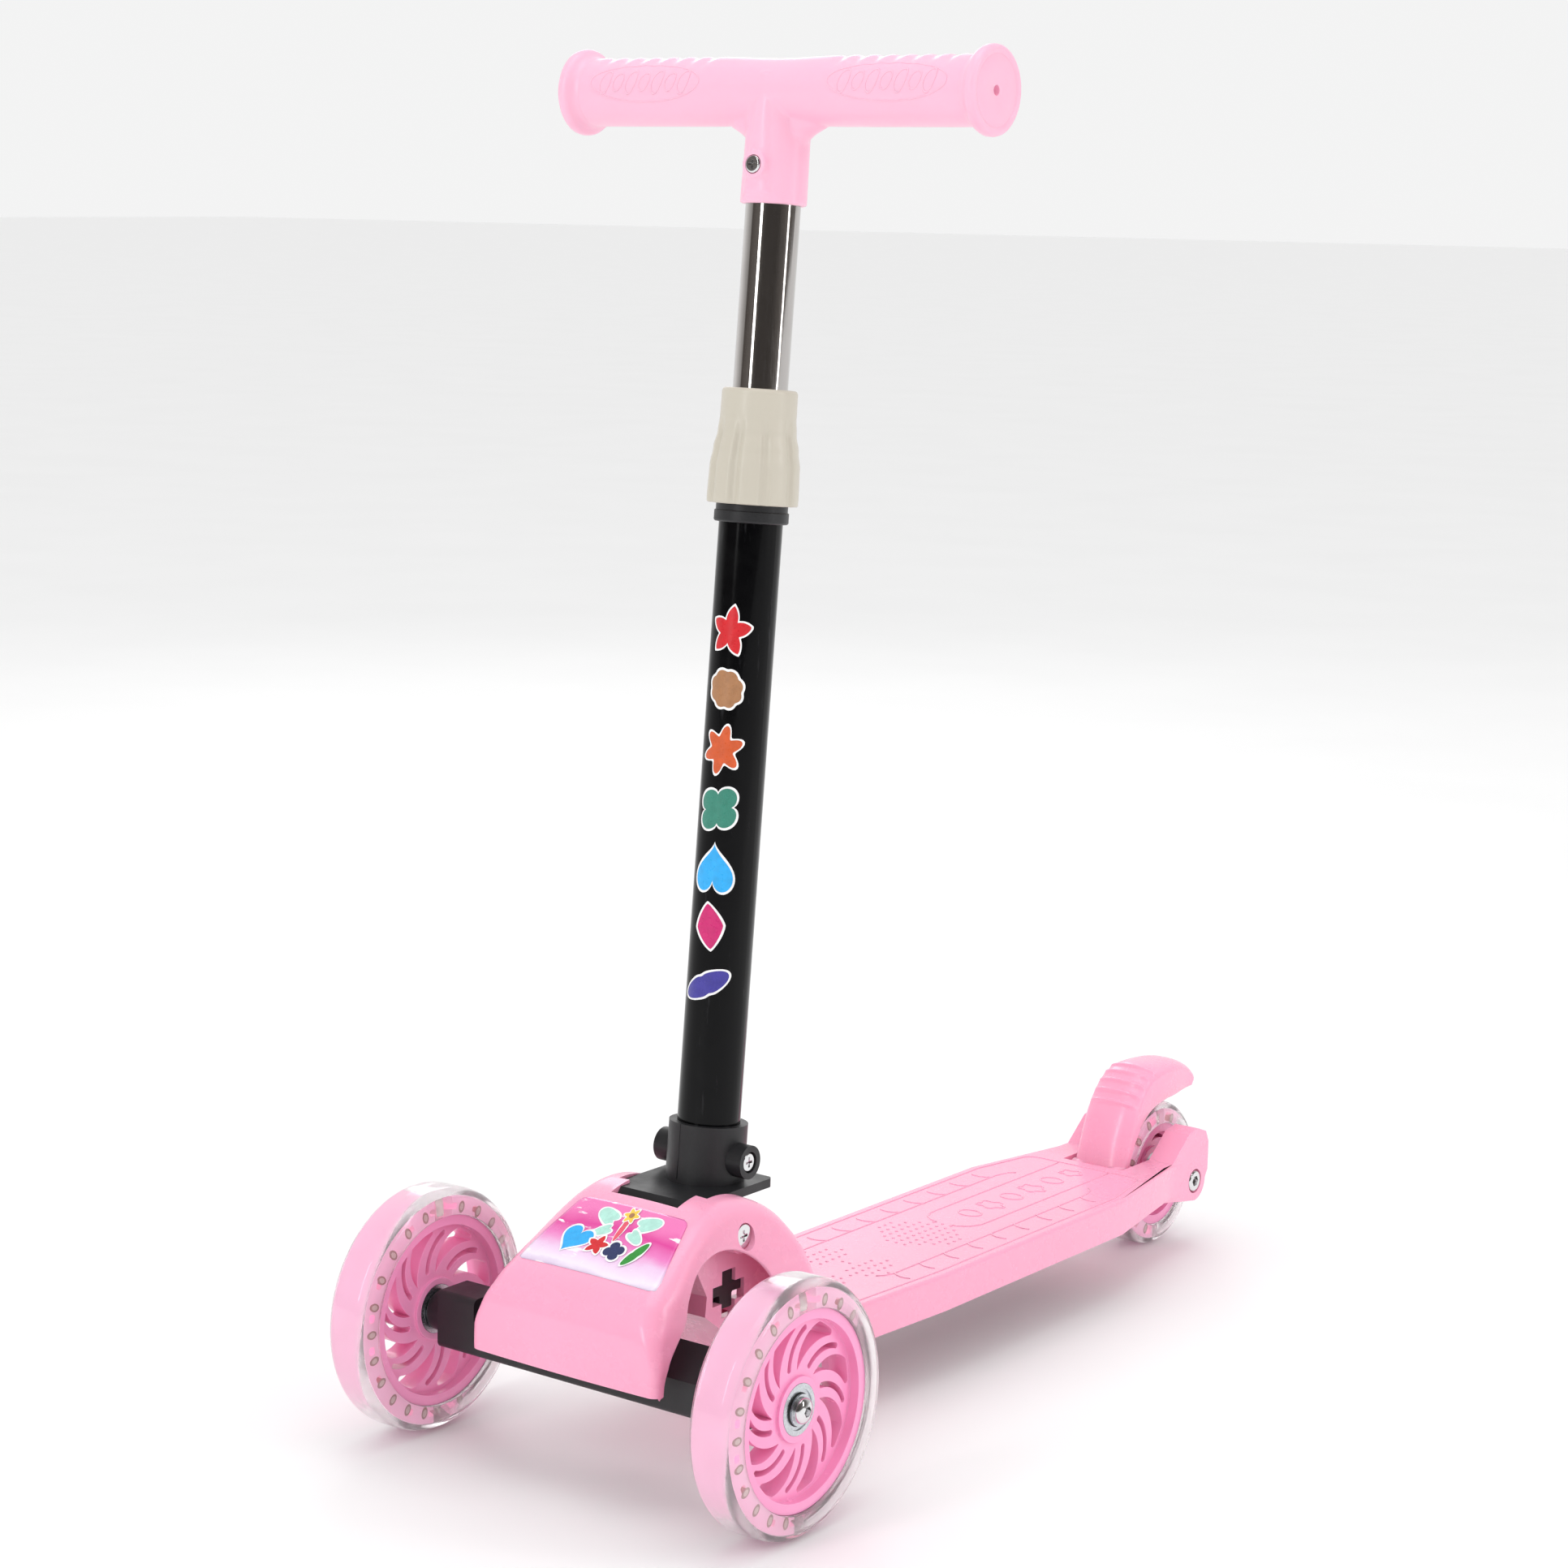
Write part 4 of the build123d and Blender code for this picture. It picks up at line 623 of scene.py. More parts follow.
def stamp(name, surface, kind, centre, size, turn, finish, grow=0.0, lift=0.0, rings=5):
    """Thin printed shape laid on a surface; surface(u, v, height) gives its points in metres."""
    unit = outline(kind)
    vertices, faces = [surface(centre[0], centre[1], lift)], []
    for r in range(1, rings + 1):
        for x, y in unit:
            reach = hypot(x * size[0], y * size[1]) or 1e-9
            factor = r / rings * (1 + grow / reach)
            px, py = x * size[0] * factor, y * size[1] * factor
            u = centre[0] + px * cos(turn) - py * sin(turn)
            v = centre[1] + px * sin(turn) + py * cos(turn)
            vertices.append(surface(u, v, lift))
    count = len(unit)
    for k in range(count):
        faces.append((0, 1 + k, 1 + (k + 1) % count))
        for r in range(rings - 1):
            a, b = 1 + r * count + k, 1 + r * count + (k + 1) % count
            faces.append((a, a + count, b + count, b))
    mesh = plain_mesh(name, vertices, faces)
    mesh.shade_smooth()
    return new_piece(name, mesh, finish)


def turn_outwards(piece, outward):
    """Turns a thin printed piece so that it faces away from what it is printed on."""
    mesh = piece.data
    if sum((polygon.normal.dot(outward) for polygon in mesh.polygons)) < 0:
        mesh.flip_normals()


def join(name, pieces):
    """One object from several meshes; their finishes are kept."""
    draft = bmesh.new()
    materials = []
    for piece in pieces:
        start = len(draft.faces)
        draft.from_mesh(piece.data)
        draft.faces.ensure_lookup_table()
        for material in piece.data.materials:
            if material not in materials:
                materials.append(material)
        for face in draft.faces[start:]:
            face.material_index = materials.index(piece.data.materials[face.material_index])
        bpy.data.objects.remove(piece)
    mesh = bpy.data.meshes.new(name)
    draft.to_mesh(mesh)
    draft.free()
    for material in materials:
        mesh.materials.append(material)
    return new_piece(name, mesh)


# ------------------------------------------------------------------ Geometry Nodes helpers
def geometry_tree(name, sockets):
    """New Geometry Nodes tree with named inputs; also returns its inputs and its output node."""
    tree = bpy.data.node_groups.new(name, "GeometryNodeTree")
    tree.interface.new_socket("Geometry", in_out="OUTPUT", socket_type="NodeSocketGeometry")
    for label, kind, default in sockets:
        socket = tree.interface.new_socket(label, in_out="INPUT", socket_type=kind)
        if default is not None:
            socket.default_value = default
    given = add_node(tree, "NodeGroupInput").outputs
    return tree, given, add_node(tree, "NodeGroupOutput")


def finish_tree(tree, given, end, geometry):
    """Ends a tree in Realize Instances and Set Material, and returns it."""
    real = add_node(tree, "GeometryNodeRealizeInstances", Geometry=geometry)
    paint = add_node(tree, "GeometryNodeSetMaterial", Geometry=real.outputs["Geometry"],
                     Material=given["Material"])
    tree.links.new(paint.outputs["Geometry"], end.inputs["Geometry"])
    return tree


def run_tree(name, tree, values, finish):
    """Runs a tree and returns its result as a plain mesh object."""
    piece = new_piece(name, bpy.data.meshes.new(name))
    modifier = piece.modifiers.new("pattern", "NODES")
    modifier.node_group = tree
    for item in tree.interface.items_tree:
        if item.in_out == "INPUT":
            if item.name == "Material":
                modifier[item.identifier] = finishes[finish]
            else:
                modifier[item.identifier] = values[item.name]
    settle(piece)
    piece.data.shade_smooth()
    return piece


# ------------------------------------------------------------------ handlebar
BAR_CENTRE = STEM_FOOT + STEM_UP * ((0.5908 - 0.118) / cos(STEM_LEAN))
BAR_RADIUS, BAR_REACH = 0.0150, 0.103
GRIP_INNER, GRIP_OUTER = 0.034, 0.1015
SLEEVE_LOW, SCREW_STATION, COLLAR_STATION = 0.426, 0.442, 0.297
INNER_TUBE_BORE = 0.01205


def bar_radius(x, angle, sizes):
    """Radius of the bar at x; angle 0 is up and 90 degrees is forward."""
    reach = BAR_RADIUS - 0.0010 * (1 - smooth_step(0.0, GRIP_INNER, abs(x)))
    zone = smooth_step(0.028, 0.036, abs(x)) * (1 - smooth_step(0.090, 0.096, abs(x)))
    turned_angle = (angle + radians(15) + pi) % (2 * pi) - pi
    top = 1 - smooth_step(radians(35), radians(80), abs(turned_angle))
    wave = 0.5 - 0.5 * cos(2 * pi * (abs(x) - 0.030) / sizes.groove_pitch)
    return reach - sizes.finger_groove * wave * zone * top


def bar_point(x, angle, reach):
    """Point round the bar; angle 0 is up and 90 degrees is forward."""
    return Vector((x, BAR_CENTRE.y - reach * sin(angle), BAR_CENTRE.z + reach * cos(angle)))


def make_handlebar(sizes):
    """T handlebar in one moulding, with end flanges, finger grooves and a ridged socket."""
    rows, rings, steps = [], 220, 72
    for i in range(rings + 1):
        x = BAR_REACH * (2 * i / rings - 1)
        around = [2 * pi * k / steps for k in range(steps)]
        rows.append([bar_point(x, angle, bar_radius(x, angle, sizes)) for angle in around])
    bar = build("handlebar_moulding", *capped_tube(rows), "grip_moulding")
    sleeve = turned(
        "sleeve", ((0, 0.0002), (0.0482, 0.0002), (0.0482, 0.0134), (0.030, 0.0140), (0, 0.0145)),
        STEM_FOOT + STEM_UP * SLEEVE_LOW, STEM_UP, SIDE, "grip_moulding", 72)
    screw_centre = STEM_FOOT + STEM_UP * SCREW_STATION
    boss = rod("boss", screw_centre + STEM_FRONT * 0.008, screw_centre + STEM_FRONT * 0.0168, 0.0060)
    ridge_rows = []  # a tapering ridge down the front of the sleeve
    for i in range(25):
        share = i / 24
        station = SLEEVE_LOW + 0.004 + share * 0.052
        reach = 0.0138 + 0.0012 * (1 - share) if share < 0.62 else 0.0143 - 0.004 * (share - 0.62)
        wide = 0.0030 + 0.0036 * (1 - share)
        centre = STEM_FOOT + STEM_UP * station + STEM_FRONT * (reach - 0.0016)
        ridge_rows.append([
            centre + SIDE * (wide * level) + STEM_FRONT * (0.0021 * rise)
            for level, rise in circle(16)])
    ridge = build("ridge", *capped_tube(ridge_rows), "grip_moulding")
    webs = []  # leaning rods that blend the sleeve into the bar
    for side in (-1, 1):
        for level in range(3):
            low = BAR_CENTRE - STEM_UP * (0.0105 + 0.0028 * level) + SIDE * side * 0.004
            high = BAR_CENTRE - STEM_UP * 0.0075 + SIDE * side * (0.0262 - 0.0045 * level)
            webs.append(rod("web", low + STEM_UP * -0.006, high, 0.0085, far_radius=0.0062))
    whole = join("handlebar_moulding", [bar, sleeve, boss, ridge, *webs])
    fuse = whole.modifiers.new("fuse", "REMESH")
    fuse.mode, fuse.voxel_size = "VOXEL", 0.00072
    settle(whole)
    soften = whole.modifiers.new("soften", "SMOOTH")
    soften.factor, soften.iterations = 0.5, 9
    settle(whole)
    whole.data.materials.clear()
    whole.data.materials.append(finishes["grip_moulding"])
    for vertex in whole.data.vertices:
        away = vertex.co - BAR_CENTRE
        if GRIP_INNER < abs(away.x) < GRIP_OUTER:
            angle = atan2(-away.y, away.z)
            vertex.co = bar_point(away.x, angle, bar_radius(away.x, angle, sizes))
    cutter = rod(
        "bore", STEM_FOOT + STEM_UP * (SLEEVE_LOW - 0.01), STEM_FOOT + STEM_UP * 0.4705,
        INNER_TUBE_BORE)
    shape_with(whole, cutter)
    cutter = rod(
        "recess", screw_centre + STEM_FRONT * 0.0154, screw_centre + STEM_FRONT * 0.02, 0.0041)
    shape_with(whole, cutter, sharp=50)
    hand_over(whole, "handle", "pink_plastic", "handlebar")
    section = (  # end flange: distance from the middle and radius
        (0.1005, 0.0100), (0.1005, 0.01502), (0.1020, 0.0153), (0.1033, 0.0160), (0.1043, 0.0172),
        (0.1050, 0.0183), (0.1062, 0.0189), (0.1078, 0.0190), (0.1091, 0.0187), (0.1098, 0.0179),
        (0.1100, 0.0168), (0.1098, 0.0158), (0.10945, 0.0154), (0.1093, 0.0150), (0.1095, 0.0146),
        (0.1095, 0.0026), (0.1092, 0.0022), (0.1065, 0.0021), (0.1060, 0.0018), (0.1060, 0.0100),
    )
    for side, label in ((1, "left"), (-1, "right")):
        end = turned(
            f"grip_end_{label}", section, Vector((0, BAR_CENTRE.y, BAR_CENTRE.z)),
            SIDE * side, Vector((0, 0, 1)), "grip_moulding", 96)
        end.data.set_sharp_from_angle(angle=radians(50))
        plug = rod(
            "plug", Vector((side * 0.1020, BAR_CENTRE.y, BAR_CENTRE.z)),
            Vector((side * 0.1062, BAR_CENTRE.y, BAR_CENTRE.z)), 0.0125, "grip_moulding")
        end = join(f"grip_end_{label}", [end, plug])
        hand_over(end, "handle", "pink_plastic", "handlebar")


def make_grip_panels(sizes):
    """Raised oval with a row of plain raised lozenges on the front of each grip."""
    def on_grip(u, v, height):
        """Point on the front of a grip: u runs along the bar and v round it, in metres."""
        angle = radians(74) - v / 0.015
        return bar_point(u, angle, bar_radius(u, angle, sizes) + height)

    for side, label in ((1, "left"), (-1, "right")):
        middle = side * 0.0640
        rows = []
        for out_u, out_v in circle(120):
            u, v = middle + 0.0300 * out_u, 0.0088 * out_v
            rows.append([
                on_grip(u + 0.00034 * level * out_u, v + 0.00034 * level * out_v, 0.00024 * rise)
                for level, rise in circle(8)])
        marks = [build("oval", *lattice(rows, closed_rows=True, closed_columns=True), "grip_moulding")]
        for n in range(7):
            u = middle + (n - 3) * 0.0072
            tall = 0.0052 if n % 2 == 0 else 0.0040
            rows = []
            for out_u, out_v in circle(36):
                lean = 0.0026 * out_u + 0.25 * tall * out_v
                rows.append([
                    on_grip(u + (1 + 0.10 * level) * lean, tall * (1 + 0.10 * level) * out_v,
                            0.00022 * rise) for level, rise in circle(6)])
            marks.append(build(
                "mark", *lattice(rows, closed_rows=True, closed_columns=True), "grip_moulding"))
        panel = join(f"grip_panel_{label}", marks)
        panel.data.shade_smooth()
        hand_over(panel, "handle", "pink_plastic")


# ------------------------------------------------------------------ front housing
HOOD_Y, HOOD_Z, HOOD_R = -0.174, 0.070, 0.050
ARCH_Y, ARCH_Z, ARCH_R = -0.188, 0.066, 0.036
CROWN = 0.0009  # how far the top sheet rises in its middle


def housing_half_width(z):
    """Half width of the housing at a height: flared at the foot, narrow at the top."""
    return between_marks((
        (0.045, 0.0500), (0.054, 0.0512), (0.064, 0.0512), (0.076, 0.0484), (0.088, 0.0450),
        (0.104, 0.0397), (0.124, 0.0335)), z, ease=0.35)


class HousingSkin:
    """Outer skin of the housing: a side profile carried across, rolled over into two cheeks."""

    def __init__(self):
        brow = (-0.238, 0.090)
        touch = 125.2
        profile = [(-0.2468, 0.053), (-0.2468, 0.063), (-0.2450, 0.079), brow]
        profile += arc(HOOD_Y, HOOD_Z, HOOD_R, touch, -23.6, 60)
        self.path = even_path(profile, 0.0011, 0.0042)
        count = len(self.path)
        self.normals = []
        for k in range(count):
            (ay, az), (by, bz) = self.path[max(0, k - 1)], self.path[min(count - 1, k + 1)]
            length = hypot(by - ay, bz - az)
            self.normals.append((-(bz - az) / length, (by - ay) / length))
        edge = [(-0.2411, 0.053), (-0.2404, 0.060), (-0.2368, 0.067), (-0.2225, 0.0785)]
        edge += arc(ARCH_Y, ARCH_Z, ARCH_R, 158, 0, 48) + [(-0.152, 0.050)]
        self.arch = even_path(edge, 0.0011, 0.0030)
        self.brow_share = 0.19

    @staticmethod
    def point_on(path, share):
        """Pair of numbers at a share of a path's steps."""
        place_on = share * (len(path) - 1)
        low = min(len(path) - 2, int(place_on))
        part = place_on - low
        (ay, az), (by, bz) = path[low], path[low + 1]
        return ay * (1 - part) + by * part, az * (1 - part) + bz * part

    def arch_point(self, share):
        """Point of the arch that faces a share of the profile."""
        goal = between_marks(((0.0, 0.0), (self.brow_share, 0.215), (0.9, 0.89), (1.0, 1.0)), share)
        return self.point_on(self.arch, goal)

    def roll(self, share):
        """Radius of the rolled edge between top and cheek."""
        return 0.0046 + 0.0056 * smooth_step(0.06, 0.17, share) - 0.0037 * smooth_step(0.20, 0.34, share)

    def top(self, share, x, height=0.0):
        """Point on the top sheet at a share of the profile, rolled over near its edge."""
        y, z = self.point_on(self.path, share)
        ny, nz = self.point_on(self.normals, share)
        wide = housing_half_width(z)
        radius = self.roll(share)
        flat = wide - radius
        crown = CROWN * (1 - min(1.0, abs(x) / flat) ** 2)
        drop = 0.0
        if abs(x) > flat:
            inside = min(1.0, (abs(x) - flat) / radius)
            drop = radius * (1 - sqrt(max(0.0, 1 - inside * inside)))
        offset = crown - drop + height - CROWN
        return Vector((x, y + ny * offset, z + nz * offset))


def make_housing(sizes):
    """Pink shell over the front axle, with rolled edges, wheel arches and its steering slot."""
    skin = HousingSkin()
    count = len(skin.path)
    lip = 0.0014
    rows = []
    for k in range(count):
        # Half a cross-section: the top sheet, the rolled edge, the cheek and the lip round the arch.
        share = k / (count - 1)
        y, z = skin.path[k]
        ny, nz = skin.normals[k]
        radius = skin.roll(share)
        flat = housing_half_width(z) - radius
        half = [skin.top(share, flat * j / 11) for j in range(12)]
        for j in range(1, 8):
            theta = radians(90 * j / 7)
            inset = radius * (1 - cos(theta)) + CROWN
            py, pz = y - ny * inset, z - nz * inset
            half.append(Vector((housing_half_width(pz) - radius + radius * sin(theta), py, pz)))
        ay, az = skin.arch_point(share)
        py, pz = y - ny * (radius + CROWN), z - nz * (radius + CROWN)
        for j in range(1, 9):
            part = j / 8
            qy, qz = py + (ay - py) * part, pz + (az - pz) * part
            half.append(Vector((housing_half_width(qz), qy, qz)))
        gap_y, gap_z = ay - py, az - pz
        gap = hypot(gap_y, gap_z) or 1e-9
        for j in range(1, 4):
            theta = radians(80 * j / 3)
            qy = ay + gap_y / gap * lip * sin(theta)
            qz = az + gap_z / gap * lip * sin(theta)
            half.append(Vector((housing_half_width(qz) - lip * (1 - cos(theta)), qy, qz)))
        mirrored = [Vector((-p.x, p.y, p.z)) for p in reversed(half[1:])]
        rows.append(mirrored + half)
    mesh = plain_mesh("front_housing_shell", *lattice(rows))
    shell = new_piece("front_housing_shell", mesh, "pink_moulding")
    middle = mesh.polygons[len(rows[0]) // 2 + (count // 2) * (len(rows[0]) - 1)]
    if middle.normal.z < 0:
        mesh.flip_normals()
    wall = shell.modifiers.new("wall", "SOLIDIFY")
    wall.thickness, wall.offset = sizes.shell_wall, -1
    settle(shell)
    # The drum's slot is narrow in front and wide behind; the neck passes through the low one.
    for half_wide, front, top in (
        (0.0183, PIVOT_Y - 0.0211, 0.2), (0.0243, -0.1776, 0.2), (0.0288, -0.132, PIVOT_Z),
    ):
        shape_with(shell, block("slot", (-half_wide, front, 0.02), (half_wide, 0.0, top)))
    pivot = Vector((0, PIVOT_Y, PIVOT_Z))
    for side in (-SIDE, SIDE):
        # A boss for the side screw, the recess of its head and the bore of its shank.
        shape_with(shell, rod("boss", pivot + side * 0.0290, pivot + side * 0.0376, 0.0080), "UNION")
        shape_with(shell, rod(
            "recess", pivot + side * 0.0366, pivot + side * 0.05, 0.0056, far_radius=0.0064))
        shape_with(shell, rod("bore", pivot + side * 0.02, pivot + side * 0.0380, 0.00405), sharp=38)
    ease = shell.modifiers.new("ease", "BEVEL")
    ease.limit_method, ease.angle_limit = "ANGLE", radians(48)
    ease.width, ease.segments, ease.use_clamp_overlap = 0.0004, 2, True
    settle(shell, 38)
    hand_over(shell, "deck", "pink_plastic", "front_housing")
    return skin


def make_label(skin):
    """Printed label on the slope, with a butterfly and four plain shapes."""
    def on_label(u, v, height):
        """Point on the label: u from -1 to 1 across it and v from 0 to 1 up the slope."""
        share = 0.222 + 0.196 * v
        wide = 0.0385 - 0.0095 * v
        return skin.top(share, u * wide, 0.00012 + height)

    def flat_label(u, v, height):
        """u and v in metres from the label's centre."""
        return on_label(u / 0.0385, 0.5 + v / 0.044, height)

    rows, places = [], []
    for i in range(37):
        v = i / 36
        row = []
        for j in range(49):
            u = -1 + 2 * j / 48
            corner = 0.10
            edge_v = min(v, 1 - v)
            squeeze = 1.0
            if edge_v < corner:
                squeeze = 1 - corner * (1 - sqrt(max(0.0, 1 - (1 - edge_v / corner) ** 2)))
            row.append(on_label(u * squeeze, v, 0.0))
            places.append((u * squeeze * 0.5 + 0.5, v))
        rows.append(row)
    mesh = plain_mesh("front_label", *lattice(rows))
    layer = mesh.uv_layers.new(name="label")
    for loop in mesh.loops:
        layer.data[loop.index].uv = places[loop.vertex_index]
    mesh.shade_smooth()
    label = new_piece("front_label", mesh, "sky_print")
    slope_out = Vector((0, -0.55, 0.83))
    turn_outwards(label, slope_out)
    film = label.modifiers.new("film", "SOLIDIFY")
    film.thickness, film.offset = 0.0001, 1
    settle(label)
    hand_over(label, "deck", "sticker_print", "front_sticker")

    prints = []
    for kind, u, v, wide, tall, turn, finish, edge, level in (
        ("wing", -0.0085, 0.0120, 0.0105, 0.0066, 158, "ink_aqua", 0.0011, 0),
        ("wing", 0.0135, 0.0125, 0.0105, 0.0066, 22, "ink_aqua", 0.0011, 0),
        ("wing", -0.0060, 0.0050, 0.0072, 0.0048, 214, "ink_aqua", 0.0011, 1),
        ("wing", 0.0110, 0.0055, 0.0072, 0.0048, -34, "ink_aqua", 0.0011, 1),
        ("leaf", 0.0025, 0.0090, 0.0098, 0.0030, 90, "ink_rose", 0.0009, 2),
        ("flower", 0.0025, 0.0160, 0.0048, 0.0048, 0, "ink_yellow", 0.0009, 4),
        ("round", 0.0025, 0.0160, 0.0018, 0.0018, 0, "ink_tan", 0, 6),
        ("heart", -0.0185, -0.0050, 0.0085, 0.0085, 78, "ink_sky", 0.0012, 2),
        ("star", -0.0040, -0.0050, 0.0062, 0.0062, 12, "ink_red", 0.0012, 3),
        ("clover", 0.0070, -0.0062, 0.0056, 0.0056, 20, "ink_navy", 0.0012, 4),
        ("leaf", 0.0190, -0.0050, 0.0088, 0.0044, 62, "ink_green", 0.0012, 5),
    ):
        shape = (flat_label, kind, (u, v), (wide, tall), radians(turn))
        lift = 0.00016 + 0.00007 * level
        if edge:
            prints.append(stamp("edge", *shape, "ink_white", edge, lift))
        prints.append(stamp("print", *shape, finish, 0, lift + 0.00005))
    picture = join("label_prints", prints)
    turn_outwards(picture, slope_out)
    picture.data.shade_smooth()
    hand_over(picture, "deck", "sticker_print")


# ------------------------------------------------------------------ brake lever
def make_brake():
    """Foot brake: a crowned fender with five ribs that ends in a rounded tail."""
    back = smooth_curve([
        (0.1878, 0.0440), (0.1930, 0.0620), (0.2010, 0.0800), (0.2120, 0.0925), (0.2240, 0.0978),
        (0.2380, 0.0984), (0.2510, 0.0972), (0.2625, 0.0935), (0.2705, 0.0885), (0.2740, 0.0838),
        (0.2737, 0.0812)], 300)
    belly = smooth_curve([
        (0.1955, 0.0445), (0.1990, 0.0536), (0.2042, 0.0630), (0.2120, 0.0712), (0.2230, 0.0770),
        (0.2360, 0.0792), (0.2470, 0.0792), (0.2580, 0.0798), (0.2665, 0.0801), (0.2720, 0.0802)], 300)
    ribs = (0.325, 0.375, 0.425, 0.475, 0.525)
    rows = []
    for k in range(300):
        share = k / 299
        top, low = Vector((0, *back[k])), Vector((0, *belly[k]))
        down = low - top
        deep = down.length
        down.normalize()
        wide = 0.0150 - 0.0010 * share - 0.0030 * smooth_step(0.55, 0.95, share)
        tail = max(0.0, (share - 0.93) / 0.07)
        wide *= sqrt(max(0.02, 1 - 0.80 * tail * tail))
        crown = min(0.0058, deep * 0.62)
        row = []
        for j in range(25):
            theta = radians(-90 + 180 * j / 24)
            bulge = 0.0
            for rib in ribs:
                bulge += 0.0013 * exp(-((share - rib - 0.010 * (1 - cos(theta))) / 0.0080) ** 2)
            bulge *= 1 - smooth_step(radians(56), radians(74), abs(theta))
            row.append(top + SIDE * (wide * sin(theta)) + down * (crown * (1 - cos(theta)) ** 1.15 - bulge))
        for part in (0.55, 0.90):
            row.append(top + SIDE * wide + down * (crown + (deep - crown) * part))
        for cross in (0.94, 0.6, 0.0, -0.6, -0.94):
            row.append(top + SIDE * (wide * cross) + down * deep)
        for part in (0.90, 0.55):
            row.append(top - SIDE * wide + down * (crown + (deep - crown) * part))
        rows.append(row)
    lever = build("brake_fender", *capped_tube(rows), "pink_moulding")
    lever.data.set_sharp_from_angle(angle=radians(50))
    barrels = [rod("barrel", Vector((side * 0.0066, BRAKE_PIN_Y, BRAKE_PIN_Z)),
                   Vector((side * 0.0149, BRAKE_PIN_Y, BRAKE_PIN_Z)), 0.0045) for side in (-1, 1)]
    whole = join("brake_fender", [lever, *barrels])
    hand_over(whole, "brake", "pink_plastic", "brake_lever")


# ------------------------------------------------------------------ stem
def make_collar(sizes):
    """Twist collar: a slim neck that spreads into a fluted skirt."""
    count = sizes.collar_flutes

    def outer(along):
        """Outside radius, from the skirt up to the neck."""
        return between_marks((
            (0.0, 0.0199), (0.003, 0.0200), (0.016, 0.0197), (0.024, 0.0186), (0.031, 0.0172),
            (0.038, 0.0166), (0.0485, 0.0165)), along, ease=1.0)

    section = [(0.0, 0.0161), (0.0, outer(0) - 0.0005)]
    section += [(0.0004 + 0.0481 * k / 60, outer(0.0004 + 0.0481 * k / 60)) for k in range(61)]
    section += [(0.0495, 0.0160), (0.0500, 0.0152), (0.0500, 0.0124), (0.0290, 0.0124), (0.0270, 0.0161)]

    def flute(along, radius, angle):
        """Broad grooves between flat pads on the outside, fading out at the neck."""
        if along > 0.0488 or radius <= 0.01625:
            return 0.0
        share = abs(((angle * count / (2 * pi)) % 1) - 0.5) * 2
        groove = smooth_step(0.52, 0.94, share)
        return -sizes.flute_depth * groove * (1 - smooth_step(0.026, 0.040, along))

    collar = turned("twist_collar", section, STEM_FOOT + STEM_UP * COLLAR_STATION, STEM_UP, SIDE,
                    "collar_moulding", 216, flute)
    collar.data.set_sharp_from_angle(angle=radians(45))
    hand_over(collar, "collar", "grey_plastic", "lock_collar")


def make_tube_prints():
    """Seven bright outlined shapes down the front of the black tube."""
    radius, middle = 0.01406, radians(12)
    top_station, pitch, white_edge = 0.2420, 0.0258, 0.0011
    under, over, rings = 0.00004, 0.00009, 8

    def on_tube(u, v, height):
        """Point on the tube: u is a station along the stem and v runs round it, in metres."""
        return on_stem(u, radius + height, middle + v / radius)

    shapes = (
        ("star", 0.0112, 0.0098, 8, "ink_red"), ("shell", 0.0094, 0.0088, -20, "ink_tan"),
        ("flower", 0.0108, 0.0094, 12, "ink_orange"), ("clover", 0.0108, 0.0094, 40, "ink_teal"),
        ("heart", 0.0112, 0.0088, 180, "ink_sky"), ("diamond", 0.0116, 0.0088, -8, "ink_magenta"),
        ("leaf", 0.0116, 0.0088, 62, "ink_indigo"),
    )
    prints = []
    for k, (kind, tall, wide, turn, finish) in enumerate(shapes):
        shape = (on_tube, kind, (top_station - pitch * k, 0.0), (tall, wide), radians(turn))
        prints.append(stamp("edge", *shape, "ink_white", white_edge, under, rings))
        prints.append(stamp("print", *shape, finish, 0, over, rings))
    picture = join("tube_prints", prints)
    turn_outwards(picture, STEM_FRONT)
    picture.data.shade_smooth()
    hand_over(picture, "stem", "sticker_print")


# ------------------------------------------------------------------ wheels
def make_tyre(name, body, x, y, z, radius, rim):
    """Clear tyre with a hollow for its coloured core and a fine parting line."""
    half, shoulder = 0.0110, 0.0060
    outside = [(half, rim + 0.0004), (half, radius - shoulder)]
    for k in range(1, 13):
        theta = radians(90 * k / 12)
        outside.append((half - shoulder * (1 - cos(theta)), radius - shoulder * (1 - sin(theta))))
    outside.append((0.0008, radius - 0.00002))
    inside = [(half - 0.0003, rim + 0.00006), (0.0088, rim + 0.00006), (0.0088, radius - 0.0042),
              (0.0085, radius - 0.0038)]
    ring = [(-along, reach) for along, reach in outside] + [(0.0, radius)] + outside[::-1]
    ring += inside + [(-along, reach) for along, reach in reversed(inside)]
    tyre = turned(f"{name}_clear_tyre", ring, Vector((x, y, z)), SIDE, Vector((0, 0, 1)), "clear_tyre", 144)
    tyre.data.set_sharp_from_angle(angle=radians(50))
    hand_over(tyre, body, "clear_tyre", f"{name}_tyre")


